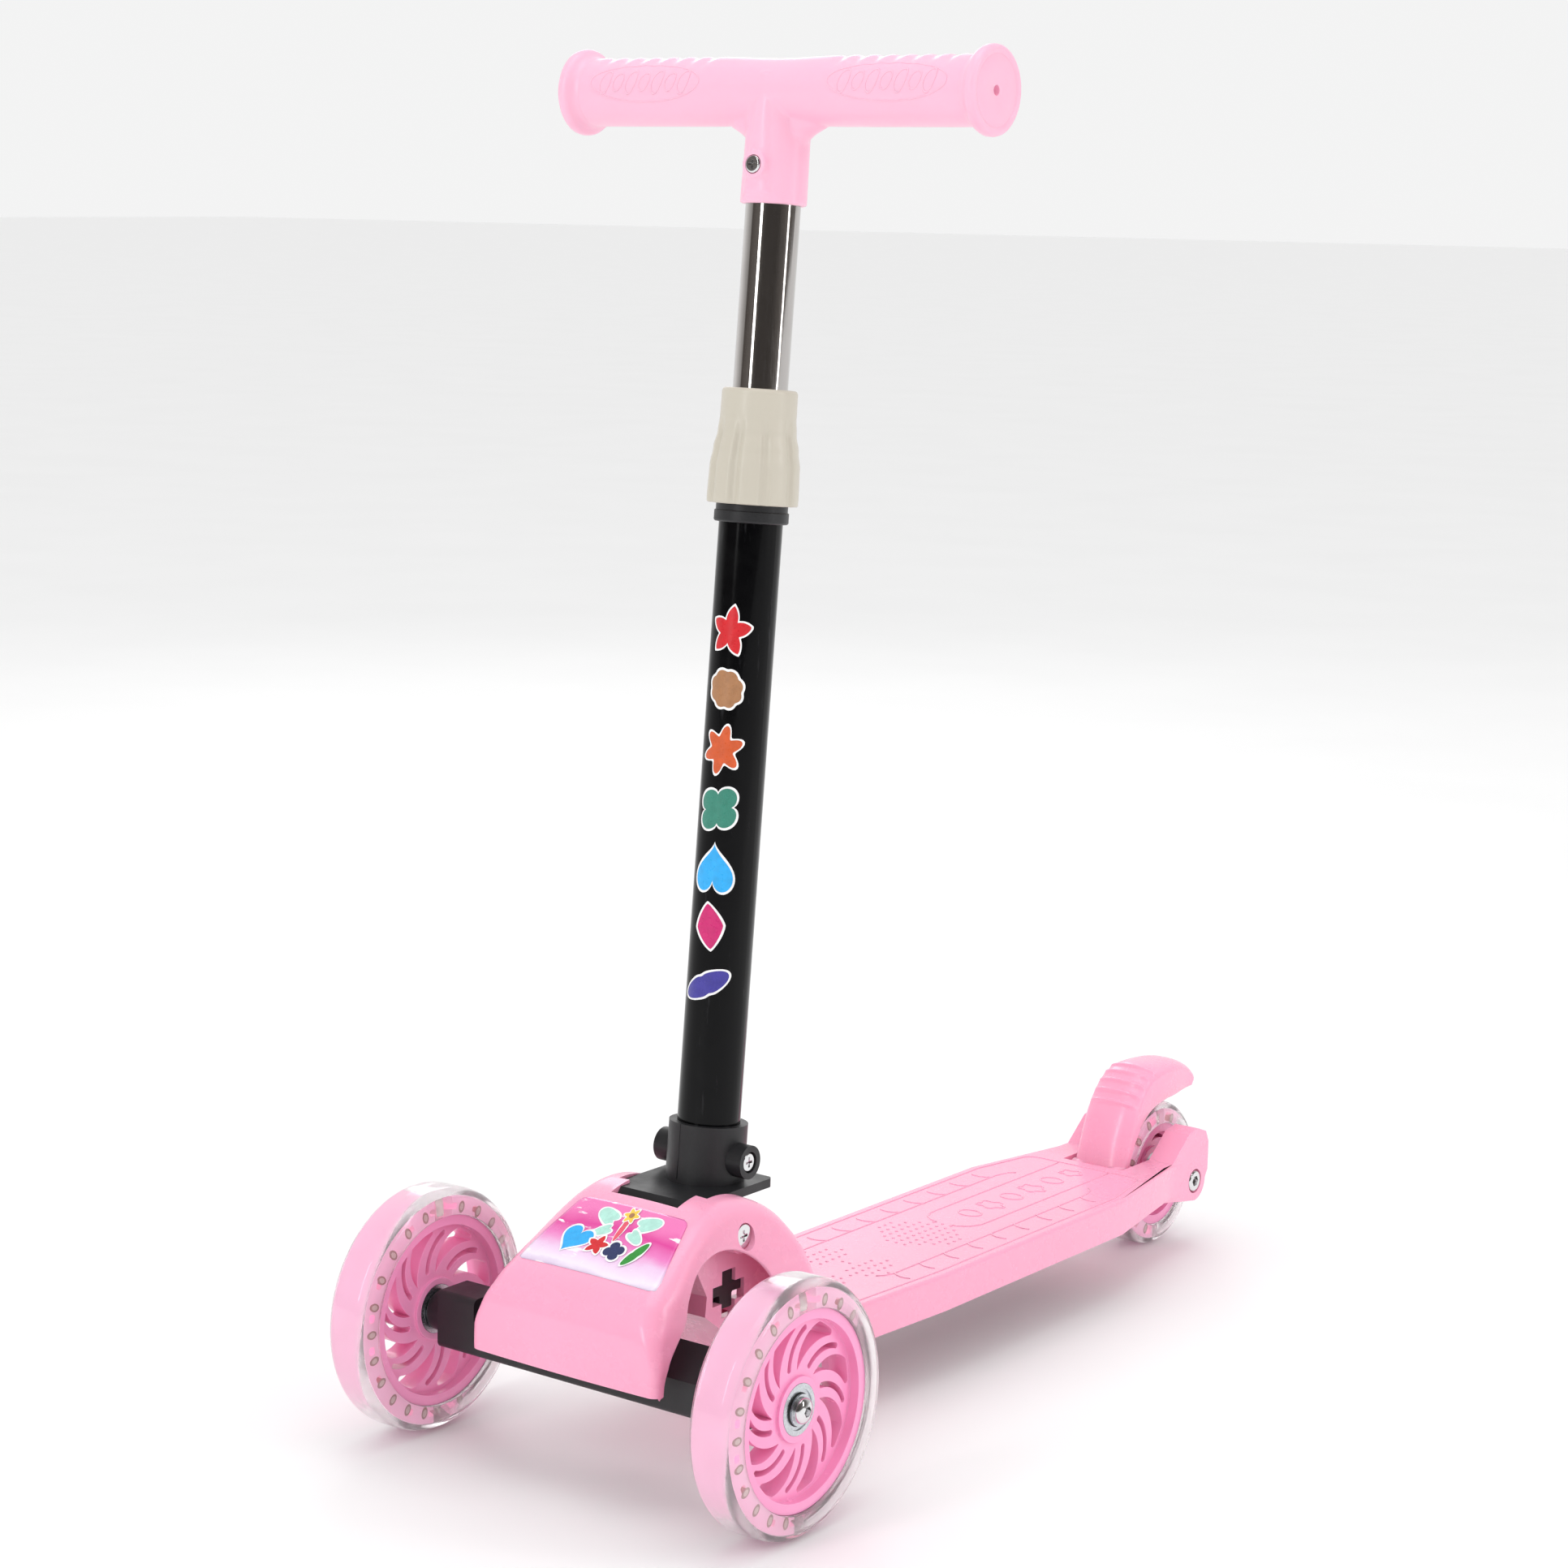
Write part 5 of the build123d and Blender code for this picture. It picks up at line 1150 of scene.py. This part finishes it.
def window_tree():
    """Ring of rounded windows in a wheel's coloured core, left out beside its two clear gaps."""
    tree, given, end = geometry_tree("core_windows", (
        ("Centre", "NodeSocketVector", None), ("Ring radius", "NodeSocketFloat", 0.046),
        ("Count", "NodeSocketInt", 22), ("Window radius", "NodeSocketFloat", 0.0024),
        ("Depth", "NodeSocketFloat", 0.0172), ("Shape", "NodeSocketVector", None),
        ("Gap", "NodeSocketFloat", 0.30), ("Material", "NodeSocketMaterial", None)))
    ring = add_node(
        tree, "GeometryNodeMeshCircle", Vertices=given["Count"], Radius=given["Ring radius"])
    where = add_node(tree, "GeometryNodeInputPosition").outputs["Position"]
    apart = add_node(tree, "ShaderNodeSeparateXYZ", Vector=where)
    across = reckon(tree, "ABSOLUTE", apart.outputs["Y"])
    share = reckon(tree, "DIVIDE", across, given["Ring radius"])
    near = reckon(tree, "LESS_THAN", share, given["Gap"])
    keep = add_node(
        tree, "GeometryNodeDeleteGeometry", Geometry=ring.outputs["Mesh"], Selection=near)
    turn = add_node(tree, "FunctionNodeAlignRotationToVector", axis="X", Vector=where)
    pane = add_node(tree, "GeometryNodeMeshCylinder", Vertices=16, Radius=given["Window radius"],
                    Depth=given["Depth"])
    copies = add_node(
        tree, "GeometryNodeInstanceOnPoints", Points=keep.outputs["Geometry"],
        Instance=pane.outputs["Mesh"], Rotation=turn.outputs["Rotation"], Scale=given["Shape"])
    real = add_node(tree, "GeometryNodeRealizeInstances", Geometry=copies.outputs["Instances"])
    upright = add_node(tree, "GeometryNodeTransform", Geometry=real.outputs["Geometry"],
                       Rotation=(0, radians(90), 0))
    move = add_node(tree, "GeometryNodeTransform", Geometry=upright.outputs["Geometry"],
                    Translation=given["Centre"])
    return finish_tree(tree, given, end, move.outputs["Geometry"])


def make_wheels():
    """The three wheels."""
    windows = window_tree()
    for name, x, y, z, radius, rim in (
        ("left_wheel", WHEEL_X, FRONT_AXLE_Y, FRONT_AXLE_Z, FRONT_RADIUS, FRONT_RIM),
        ("right_wheel", -WHEEL_X, FRONT_AXLE_Y, FRONT_AXLE_Z, FRONT_RADIUS, FRONT_RIM),
        ("rear_wheel", 0.0, REAR_AXLE_Y, REAR_AXLE_Z, REAR_RADIUS, REAR_RIM),
    ):
        make_tyre(name, name, x, y, z, radius, rim)
        eased(f"{name}_hub", f"{name}_moulded_hub", name, "hub_plastic", "hub_moulding", 0.00065, 3)
        eased(f"{name}_core", f"{name}_coloured_core", name, "core_plastic", "core_moulding", 0.00035, 2)
        count, pane = (24, 0.0020) if radius == FRONT_RADIUS else (16, 0.0019)
        ring = (rim + radius - 0.0040) / 2 - 0.0004
        layers = []
        # Each pocket in the core is drawn as a disc of painted shade with a smaller pale disc of painted
        # glint on it.
        for finish, size, depth in (
            ("window_painted_shade", pane, 0.01716), ("window_painted_glint", pane * 0.62, 0.01728),
        ):
            layers.append(run_tree("windows", windows, {
                "Centre": (x, y, z), "Ring radius": ring, "Count": count, "Window radius": size,
                "Depth": depth, "Shape": (1.25, 0.95, 1.0), "Gap": 0.20}, finish))
        painted_pocket_discs = join(f"{name}_windows", layers)
        painted_pocket_discs.data.set_sharp_from_angle(angle=radians(40))
        hand_over(painted_pocket_discs, name, "core_plastic")
        seal_section = ((-0.0002, 0.0054), (0.0002, 0.0054), (0.0002, 0.0072), (-0.0002, 0.0072))
        seals = []
        for side in (-1, 1):
            seals.append(turned(
                "seal", seal_section, Vector((x + side * 0.00615, y, z)), SIDE, Vector((0, 0, 1)),
                "black_moulding", 48))
        shields = join(f"{name}_bearing_seals", seals)
        hand_over(shields, name, "black_plastic")


# ------------------------------------------------------------------ deck relief
def tick_tree():
    """A row of short raised arcs."""
    tree, given, end = geometry_tree("deck_ticks", (
        ("Count", "NodeSocketInt", 9), ("Start", "NodeSocketVector", None),
        ("Step", "NodeSocketVector", None), ("Bend radius", "NodeSocketFloat", 0.010),
        ("Start angle", "NodeSocketFloat", 0.0), ("Sweep", "NodeSocketFloat", 1.0),
        ("Thickness", "NodeSocketFloat", 0.0004), ("Material", "NodeSocketMaterial", None)))
    line = add_node(tree, "GeometryNodeMeshLine", mode="OFFSET", Count=given["Count"],
                    Start_Location=given["Start"], Offset=given["Step"])
    curve = add_node(
        tree, "GeometryNodeCurveArc", mode="RADIUS", Resolution=14, Radius=given["Bend radius"],
        Start_Angle=given["Start angle"], Sweep_Angle=given["Sweep"])
    profile = add_node(
        tree, "GeometryNodeCurvePrimitiveCircle", Resolution=8, Radius=given["Thickness"])
    tube = add_node(tree, "GeometryNodeCurveToMesh", Curve=curve.outputs["Curve"],
                    Profile_Curve=profile.outputs["Curve"], Fill_Caps=True)
    copies = add_node(tree, "GeometryNodeInstanceOnPoints", Points=line.outputs["Mesh"],
                      Instance=tube.outputs["Mesh"])
    return finish_tree(tree, given, end, copies.outputs["Instances"])


def dot_tree():
    """A patch of small domes on a grid, kept where an oval covers it."""
    tree, given, end = geometry_tree("deck_dots", (
        ("Centre", "NodeSocketVector", None), ("Length", "NodeSocketFloat", 0.06),
        ("Width", "NodeSocketFloat", 0.04), ("Columns", "NodeSocketInt", 8),
        ("Rows", "NodeSocketInt", 12), ("Dot radius", "NodeSocketFloat", 0.0008),
        ("Flatness", "NodeSocketVector", None), ("Material", "NodeSocketMaterial", None)))
    grid = add_node(
        tree, "GeometryNodeMeshGrid", Size_X=given["Width"], Size_Y=given["Length"],
        Vertices_X=given["Columns"], Vertices_Y=given["Rows"])
    where = add_node(tree, "GeometryNodeInputPosition").outputs["Position"]
    size = add_node(tree, "ShaderNodeCombineXYZ", X=given["Width"], Y=given["Length"], Z=1.0)
    share = reckon(tree, "DIVIDE", where, size.outputs["Vector"],
                     kind="ShaderNodeVectorMath", result="Vector")
    reach = reckon(tree, "LENGTH", share, kind="ShaderNodeVectorMath")
    outside = reckon(tree, "GREATER_THAN", reach, 0.52)
    keep = add_node(
        tree, "GeometryNodeDeleteGeometry", Geometry=grid.outputs["Mesh"], Selection=outside)
    move = add_node(tree, "GeometryNodeTransform", Geometry=keep.outputs["Geometry"],
                    Translation=given["Centre"])
    ball = add_node(
        tree, "GeometryNodeMeshUVSphere", Segments=10, Rings=6, Radius=given["Dot radius"])
    copies = add_node(
        tree, "GeometryNodeInstanceOnPoints", Points=move.outputs["Geometry"],
        Instance=ball.outputs["Mesh"], Scale=given["Flatness"])
    return finish_tree(tree, given, end, copies.outputs["Instances"])


def deck_half(y):
    """Half width of the deck's top at a place along it."""
    return between_marks((
        (-0.123, 0.034), (-0.115, 0.040), (-0.020, 0.0455), (0.140, 0.0455), (0.205, 0.033)), y)


def ridge_on_deck(name, points, closed, wide, high):
    """Low rounded ridge along a line on the deck's top."""
    rows = []
    count = len(points)
    for k, (x, y) in enumerate(points):
        if closed:
            (ax, ay), (bx, by) = points[k - 1], points[(k + 1) % count]
        else:
            (ax, ay), (bx, by) = points[max(0, k - 1)], points[min(count - 1, k + 1)]
        length = hypot(bx - ax, by - ay) or 1e-9
        nx, ny = -(by - ay) / length, (bx - ax) / length
        rows.append([
            Vector((x + nx * wide * level, y + ny * wide * level, DECK_TOP + high * rise))
            for level, rise in circle(8)])
    vertices, faces = (
        lattice(rows, closed_rows=True, closed_columns=True) if closed else capped_tube(rows))
    return build(name, vertices, faces, "pink_moulding")


def make_deck(sizes):
    """Deck with eased edges and its raised tread pattern."""
    eased("deck", "deck_moulding", "deck", "pink_plastic", "pink_moulding", 0.0009, 3, 28)
    high, inset, front, rear = sizes.relief, 0.0050, -0.108, 0.172
    bends = [radians(angle) for angle in range(10, 91, 16)]
    border = []
    for side in (1, -1):
        run = [(side * (deck_half(y / 1000) - inset), y / 1000) for y in range(-108, 176, 4)]
        corner = [(side * (deck_half(front) - inset - 0.009 * (1 - cos(bend))),
                   front - 0.009 * sin(bend)) for bend in bends]
        tail = [(side * (deck_half(rear) - inset - 0.008 * (1 - cos(bend))),
                 rear + 0.006 * sin(bend)) for bend in bends]
        path = corner[::-1] + run + tail
        border += path if side == 1 else path[::-1]
    parts = [ridge_on_deck("border", border, True, 0.00045, high)]
    for side in (-1, 1):
        inner = [(side * 0.0265, y / 1000) for y in range(-36, 139, 5)]
        inner = [(side * 0.0225, -0.0440), (side * 0.0250, -0.0405)] + inner
        inner += [(side * 0.0245, 0.1430), (side * 0.0215, 0.1460)]
        parts.append(ridge_on_deck("band", inner, False, 0.0004, high))
        centre = [(side * 0.0040, 0.0465), (side * 0.0085, 0.0480), (side * 0.0125, 0.0515),
                  (side * 0.0148, 0.0570)]
        centre += [(side * 0.0150, y / 1000) for y in range(62, 181, 6)]
        parts.append(ridge_on_deck("panel", centre, False, 0.0004, high))
    for k, (y, reach) in enumerate(((0.070, 0.0060), (0.089, 0.0066), (0.108, 0.0060), (0.127, 0.0066),
                                    (0.146, 0.0060), (0.164, 0.0055))):
        ring = []
        for m, (level, rise) in enumerate(circle(40)):
            size = reach * (1.0 + (0.18 * cos(2 * pi * 5 * m / 40) if k % 2 else 0.0))
            ring.append((size * level, y + 0.8 * size * rise))
        parts.append(ridge_on_deck("mark", ring, True, 0.0004, high))
    lines = join("deck_lines", parts)
    lines.data.shade_smooth()
    hand_over(lines, "deck", "pink_plastic")
    tree = tick_tree()
    rows = []
    for side, label in ((1, "left"), (-1, "right")):
        rows.append(run_tree(f"ticks_{label}", tree, {
            "Count": sizes.tick_count,
            "Start": (side * 0.0330, -0.0290, DECK_TOP), "Step": (0.0, sizes.tick_pitch, 0.0),
            "Bend radius": 0.0085,
            "Start angle": radians(215 if side == 1 else 245), "Sweep": radians(80),
            "Thickness": high * 1.05}, "pink_moulding"))
    ticks = join("deck_ticks", rows)
    ticks.data.shade_smooth()
    hand_over(ticks, "deck", "pink_plastic")
    dots = dot_tree()
    patches = []
    for centre, length, wide, columns, count in (
        ((0.0, 0.0255, DECK_TOP), 0.040, 0.040, 9, 9),
        ((0.013, -0.036, DECK_TOP), 0.030, 0.022, 5, 7),
        ((-0.013, -0.036, DECK_TOP), 0.030, 0.022, 5, 7),
        ((0.010, -0.062, DECK_TOP), 0.018, 0.014, 4, 5),
        ((-0.010, -0.062, DECK_TOP), 0.018, 0.014, 4, 5),
    ):
        patches.append(run_tree("patch", dots, {
            "Centre": centre, "Length": length, "Width": wide, "Columns": columns, "Rows": count,
            "Dot radius": 0.00085, "Flatness": (1.0, 1.0, 0.55)}, "pink_moulding"))
    domes = join("deck_dots", patches)
    domes.data.shade_smooth()
    hand_over(domes, "deck", "pink_plastic")


# ------------------------------------------------------------------ black running gear
def make_running_gear(sizes):
    """Stem socket, axle beam, neck and latch with eased moulded edges."""
    eased("stem_socket", "stem_socket_moulding", "stem", "black_plastic", "black_moulding", 0.0006)
    eased("axle_beam", "axle_beam_moulding", "axle", "black_plastic", "black_moulding", 0.0007)
    eased("fold_latch", "fold_latch_moulding", "latch", "black_plastic", "black_moulding", 0.0004)
    eased("tube_ferrule", "tube_ferrule_ring", "stem", "black_plastic", "black_moulding", 0.0004)
    eased("neck", "neck_moulding", "deck", "pink_plastic", "pink_moulding", sizes.edge_round)
    seams = []
    for angle in (radians(-8), radians(172)):
        start, end = on_stem(0.0005, 0.01748, angle), on_stem(0.0248, 0.01748, angle)
        seams.append(rod("seam", start, end, 0.00022, "black_moulding", 8))
    seam = join("socket_parting_line", seams)
    hand_over(seam, "stem", "black_plastic")


# ------------------------------------------------------------------ stage
def light_room(scene):
    """White room, with a dimmer studio in the reflections, and four soft lights."""
    world = bpy.data.worlds.new("studio")
    world.use_nodes = True
    tree = world.node_tree
    background = tree.nodes["Background"]
    background.inputs["Strength"].default_value = 1.0
    direction = add_node(tree, "ShaderNodeTexCoord")
    facing = reckon(tree, "DOT_PRODUCT", direction.outputs["Generated"], (0.63, -0.77, 0.10),
                      kind="ShaderNodeVectorMath")
    studio = ramp(tree, spread(tree, facing, 0, 1, -1, 1), (
        (0.10, (0.90, 0.90, 0.90)), (0.32, (0.52, 0.51, 0.50)), (0.48, (0.10, 0.088, 0.080)),
        (0.72, (0.16, 0.145, 0.135)), (0.96, (0.06, 0.054, 0.050))))
    ray = add_node(tree, "ShaderNodeLightPath").outputs
    mirrored = add_node(tree, "ShaderNodeMath", operation="SUBTRACT", use_clamp=True)
    tree.links.new(ray["Is Glossy Ray"], mirrored.inputs[0])
    tree.links.new(ray["Is Transmission Ray"], mirrored.inputs[1])
    room = mix(tree, mirrored.outputs["Value"], (0.95, 0.95, 0.95), studio)
    seen = mix(tree, ray["Is Camera Ray"], room, (0.90, 0.90, 0.90))
    tree.links.new(seen, background.inputs["Color"])
    scene.world = world
    for name, spot, power, wide, tall in (
        ("left_strip", (-0.35, -2.30, 1.25), 9, 0.30, 1.5), ("right_strip", (1.90, 0.55, 1.10), 6, 0.26, 1.5),
        ("top", (0.1, -0.2, 2.3), 7, 1.3, 1.3), ("back", (-1.5, 1.6, 1.3), 4, 0.8, 0.8),
    ):
        lamp = bpy.data.lights.new(name, "AREA")
        lamp.shape, lamp.energy, lamp.size, lamp.size_y = "RECTANGLE", power, wide, tall
        light = bpy.data.objects.new(name, lamp)
        light.location = spot
        aim = Vector((0, 0, 0.25)) - Vector(spot)
        light.rotation_mode = "QUATERNION"
        light.rotation_quaternion = aim.to_track_quat("-Z", "Y")
        scene.collection.objects.link(light)


def make_stage():
    """Pale floor, soft lights and the camera."""
    scene = bpy.context.scene
    scene.view_settings.view_transform = "Standard"
    tree, principled = shader("floor_paper", Roughness=0.7)
    dress(tree, principled, ramp(tree, noise(tree, place(tree), 5, 3), (
        (0.3, (0.925, 0.925, 0.925)), (0.7, (0.94, 0.94, 0.94)))))
    half, z = 30.0, -0.0002
    corners = [(-half, -half, z), (half, -half, z), (half, half, z), (-half, half, z)]
    new_piece("floor", plain_mesh("floor", corners, [(0, 1, 2, 3)]), "floor_paper")
    light_room(scene)
    azimuth, height, roll = radians(38.951), radians(8.999), radians(0.741)
    spot = Vector((0.9076, -1.3510, 0.5540))
    back = Vector((sin(azimuth) * cos(height), -cos(azimuth) * cos(height), sin(height)))
    right = (-back).cross(Vector((0, 0, 1))).normalized()
    up = right.cross(-back)
    across, upward = right * cos(roll) + up * sin(roll), up * cos(roll) - right * sin(roll)
    lens = bpy.data.cameras.new("camera")
    lens.lens, lens.sensor_width = 80.84, 36.0
    lens.shift_x, lens.shift_y = 0.12031, -0.03224
    lens.clip_start, lens.clip_end = 0.05, 50
    camera = bpy.data.objects.new("camera", lens)
    camera.matrix_world = Matrix((
        (across.x, upward.x, back.x, spot.x), (across.y, upward.y, back.y, spot.y),
        (across.z, upward.z, back.z, spot.z), (0, 0, 0, 1)))
    scene.collection.objects.link(camera)
    scene.camera = camera


# ------------------------------------------------------------------ operators
def dress_frame(colours):
    """Gives every CAD node its finish."""
    make_finishes(colours)
    slots = {entry["node"]: entry["material_slot"] for entry in frame["record"]["subparts"]}
    for node, piece in frame["nodes"].items():
        finish = "chrome_tube" if node == "inner_tube" else FRAME_FINISH[slots[node]]
        piece.data.materials.clear()
        piece.data.materials.append(finishes[finish])


class SCOOTER_OT_frame(bpy.types.Operator):
    """Gives every piece of the frame its finish"""

    bl_idname = "scooter.frame"
    bl_label = "Finishes"

    def execute(self, context):
        dress_frame(context.scene.scooter_colours)
        return {"FINISHED"}


class SCOOTER_OT_handlebar(bpy.types.Operator):
    """Makes the T handlebar and its grip panels"""

    bl_idname = "scooter.handlebar"
    bl_label = "Handlebar"

    def execute(self, context):
        make_handlebar(context.scene.scooter_sizes)
        make_grip_panels(context.scene.scooter_sizes)
        return {"FINISHED"}


class SCOOTER_OT_housing(bpy.types.Operator):
    """Makes the front housing, and then its label, which lies on the housing's skin"""

    bl_idname = "scooter.housing"
    bl_label = "Front housing"

    def execute(self, context):
        make_label(make_housing(context.scene.scooter_sizes))
        return {"FINISHED"}


class SCOOTER_OT_stem(bpy.types.Operator):
    """Makes the twist collar and the printed shapes"""

    bl_idname = "scooter.stem"
    bl_label = "Stem details"

    def execute(self, context):
        make_collar(context.scene.scooter_sizes)
        make_tube_prints()
        return {"FINISHED"}


class SCOOTER_OT_brake(bpy.types.Operator):
    """Makes the ribbed foot brake"""

    bl_idname = "scooter.brake"
    bl_label = "Brake"

    def execute(self, context):
        make_brake()
        return {"FINISHED"}


class SCOOTER_OT_deck(bpy.types.Operator):
    """Makes the deck and its raised pattern"""

    bl_idname = "scooter.deck"
    bl_label = "Deck"

    def execute(self, context):
        make_deck(context.scene.scooter_sizes)
        return {"FINISHED"}


class SCOOTER_OT_wheels(bpy.types.Operator):
    """Makes tyres, cores and hubs"""

    bl_idname = "scooter.wheels"
    bl_label = "Wheels"

    def execute(self, context):
        make_wheels()
        return {"FINISHED"}


class SCOOTER_OT_gear(bpy.types.Operator):
    """Eases the neck, beam, latch and socket"""

    bl_idname = "scooter.gear"
    bl_label = "Running gear"

    def execute(self, context):
        make_running_gear(context.scene.scooter_sizes)
        return {"FINISHED"}


class SCOOTER_OT_stage(bpy.types.Operator):
    """Makes the floor, lights and camera"""

    bl_idname = "scooter.stage"
    bl_label = "Stage"

    def execute(self, context):
        make_stage()
        return {"FINISHED"}


STEPS = (
    SCOOTER_OT_frame, SCOOTER_OT_handlebar, SCOOTER_OT_housing, SCOOTER_OT_stem, SCOOTER_OT_brake,
    SCOOTER_OT_deck, SCOOTER_OT_wheels, SCOOTER_OT_gear, SCOOTER_OT_stage,
)


class SCOOTER_PT_panel(bpy.types.Panel):
    """Lists the scooter's steps and settings."""

    bl_idname = "SCOOTER_PT_panel"
    bl_label = "Kick scooter"
    bl_space_type = "VIEW_3D"
    bl_region_type = "UI"
    bl_category = "Scooter"

    def draw(self, context):
        for group in (context.scene.scooter_sizes, context.scene.scooter_colours):
            for key in group.__annotations__:
                self.layout.prop(group, key)
        for each in STEPS:
            self.layout.operator(each.bl_idname)


CLASSES = (ScooterSizes, ScooterColours, *STEPS, SCOOTER_PT_panel)


def register():
    """Registers the add-on's classes and settings."""
    for each in CLASSES:
        bpy.utils.register_class(each)
    bpy.types.Scene.scooter_sizes = bpy.props.PointerProperty(type=ScooterSizes)
    bpy.types.Scene.scooter_colours = bpy.props.PointerProperty(type=ScooterColours)


def unregister():
    """Takes the add-on's classes and settings away again."""
    del bpy.types.Scene.scooter_colours
    del bpy.types.Scene.scooter_sizes
    for each in reversed(CLASSES):
        bpy.utils.unregister_class(each)


def main():
    """Builds the whole scooter."""
    register()
    for each in STEPS:
        getattr(bpy.ops.scooter, each.bl_idname.removeprefix("scooter."))()


if __name__ == "__main__":
    main()
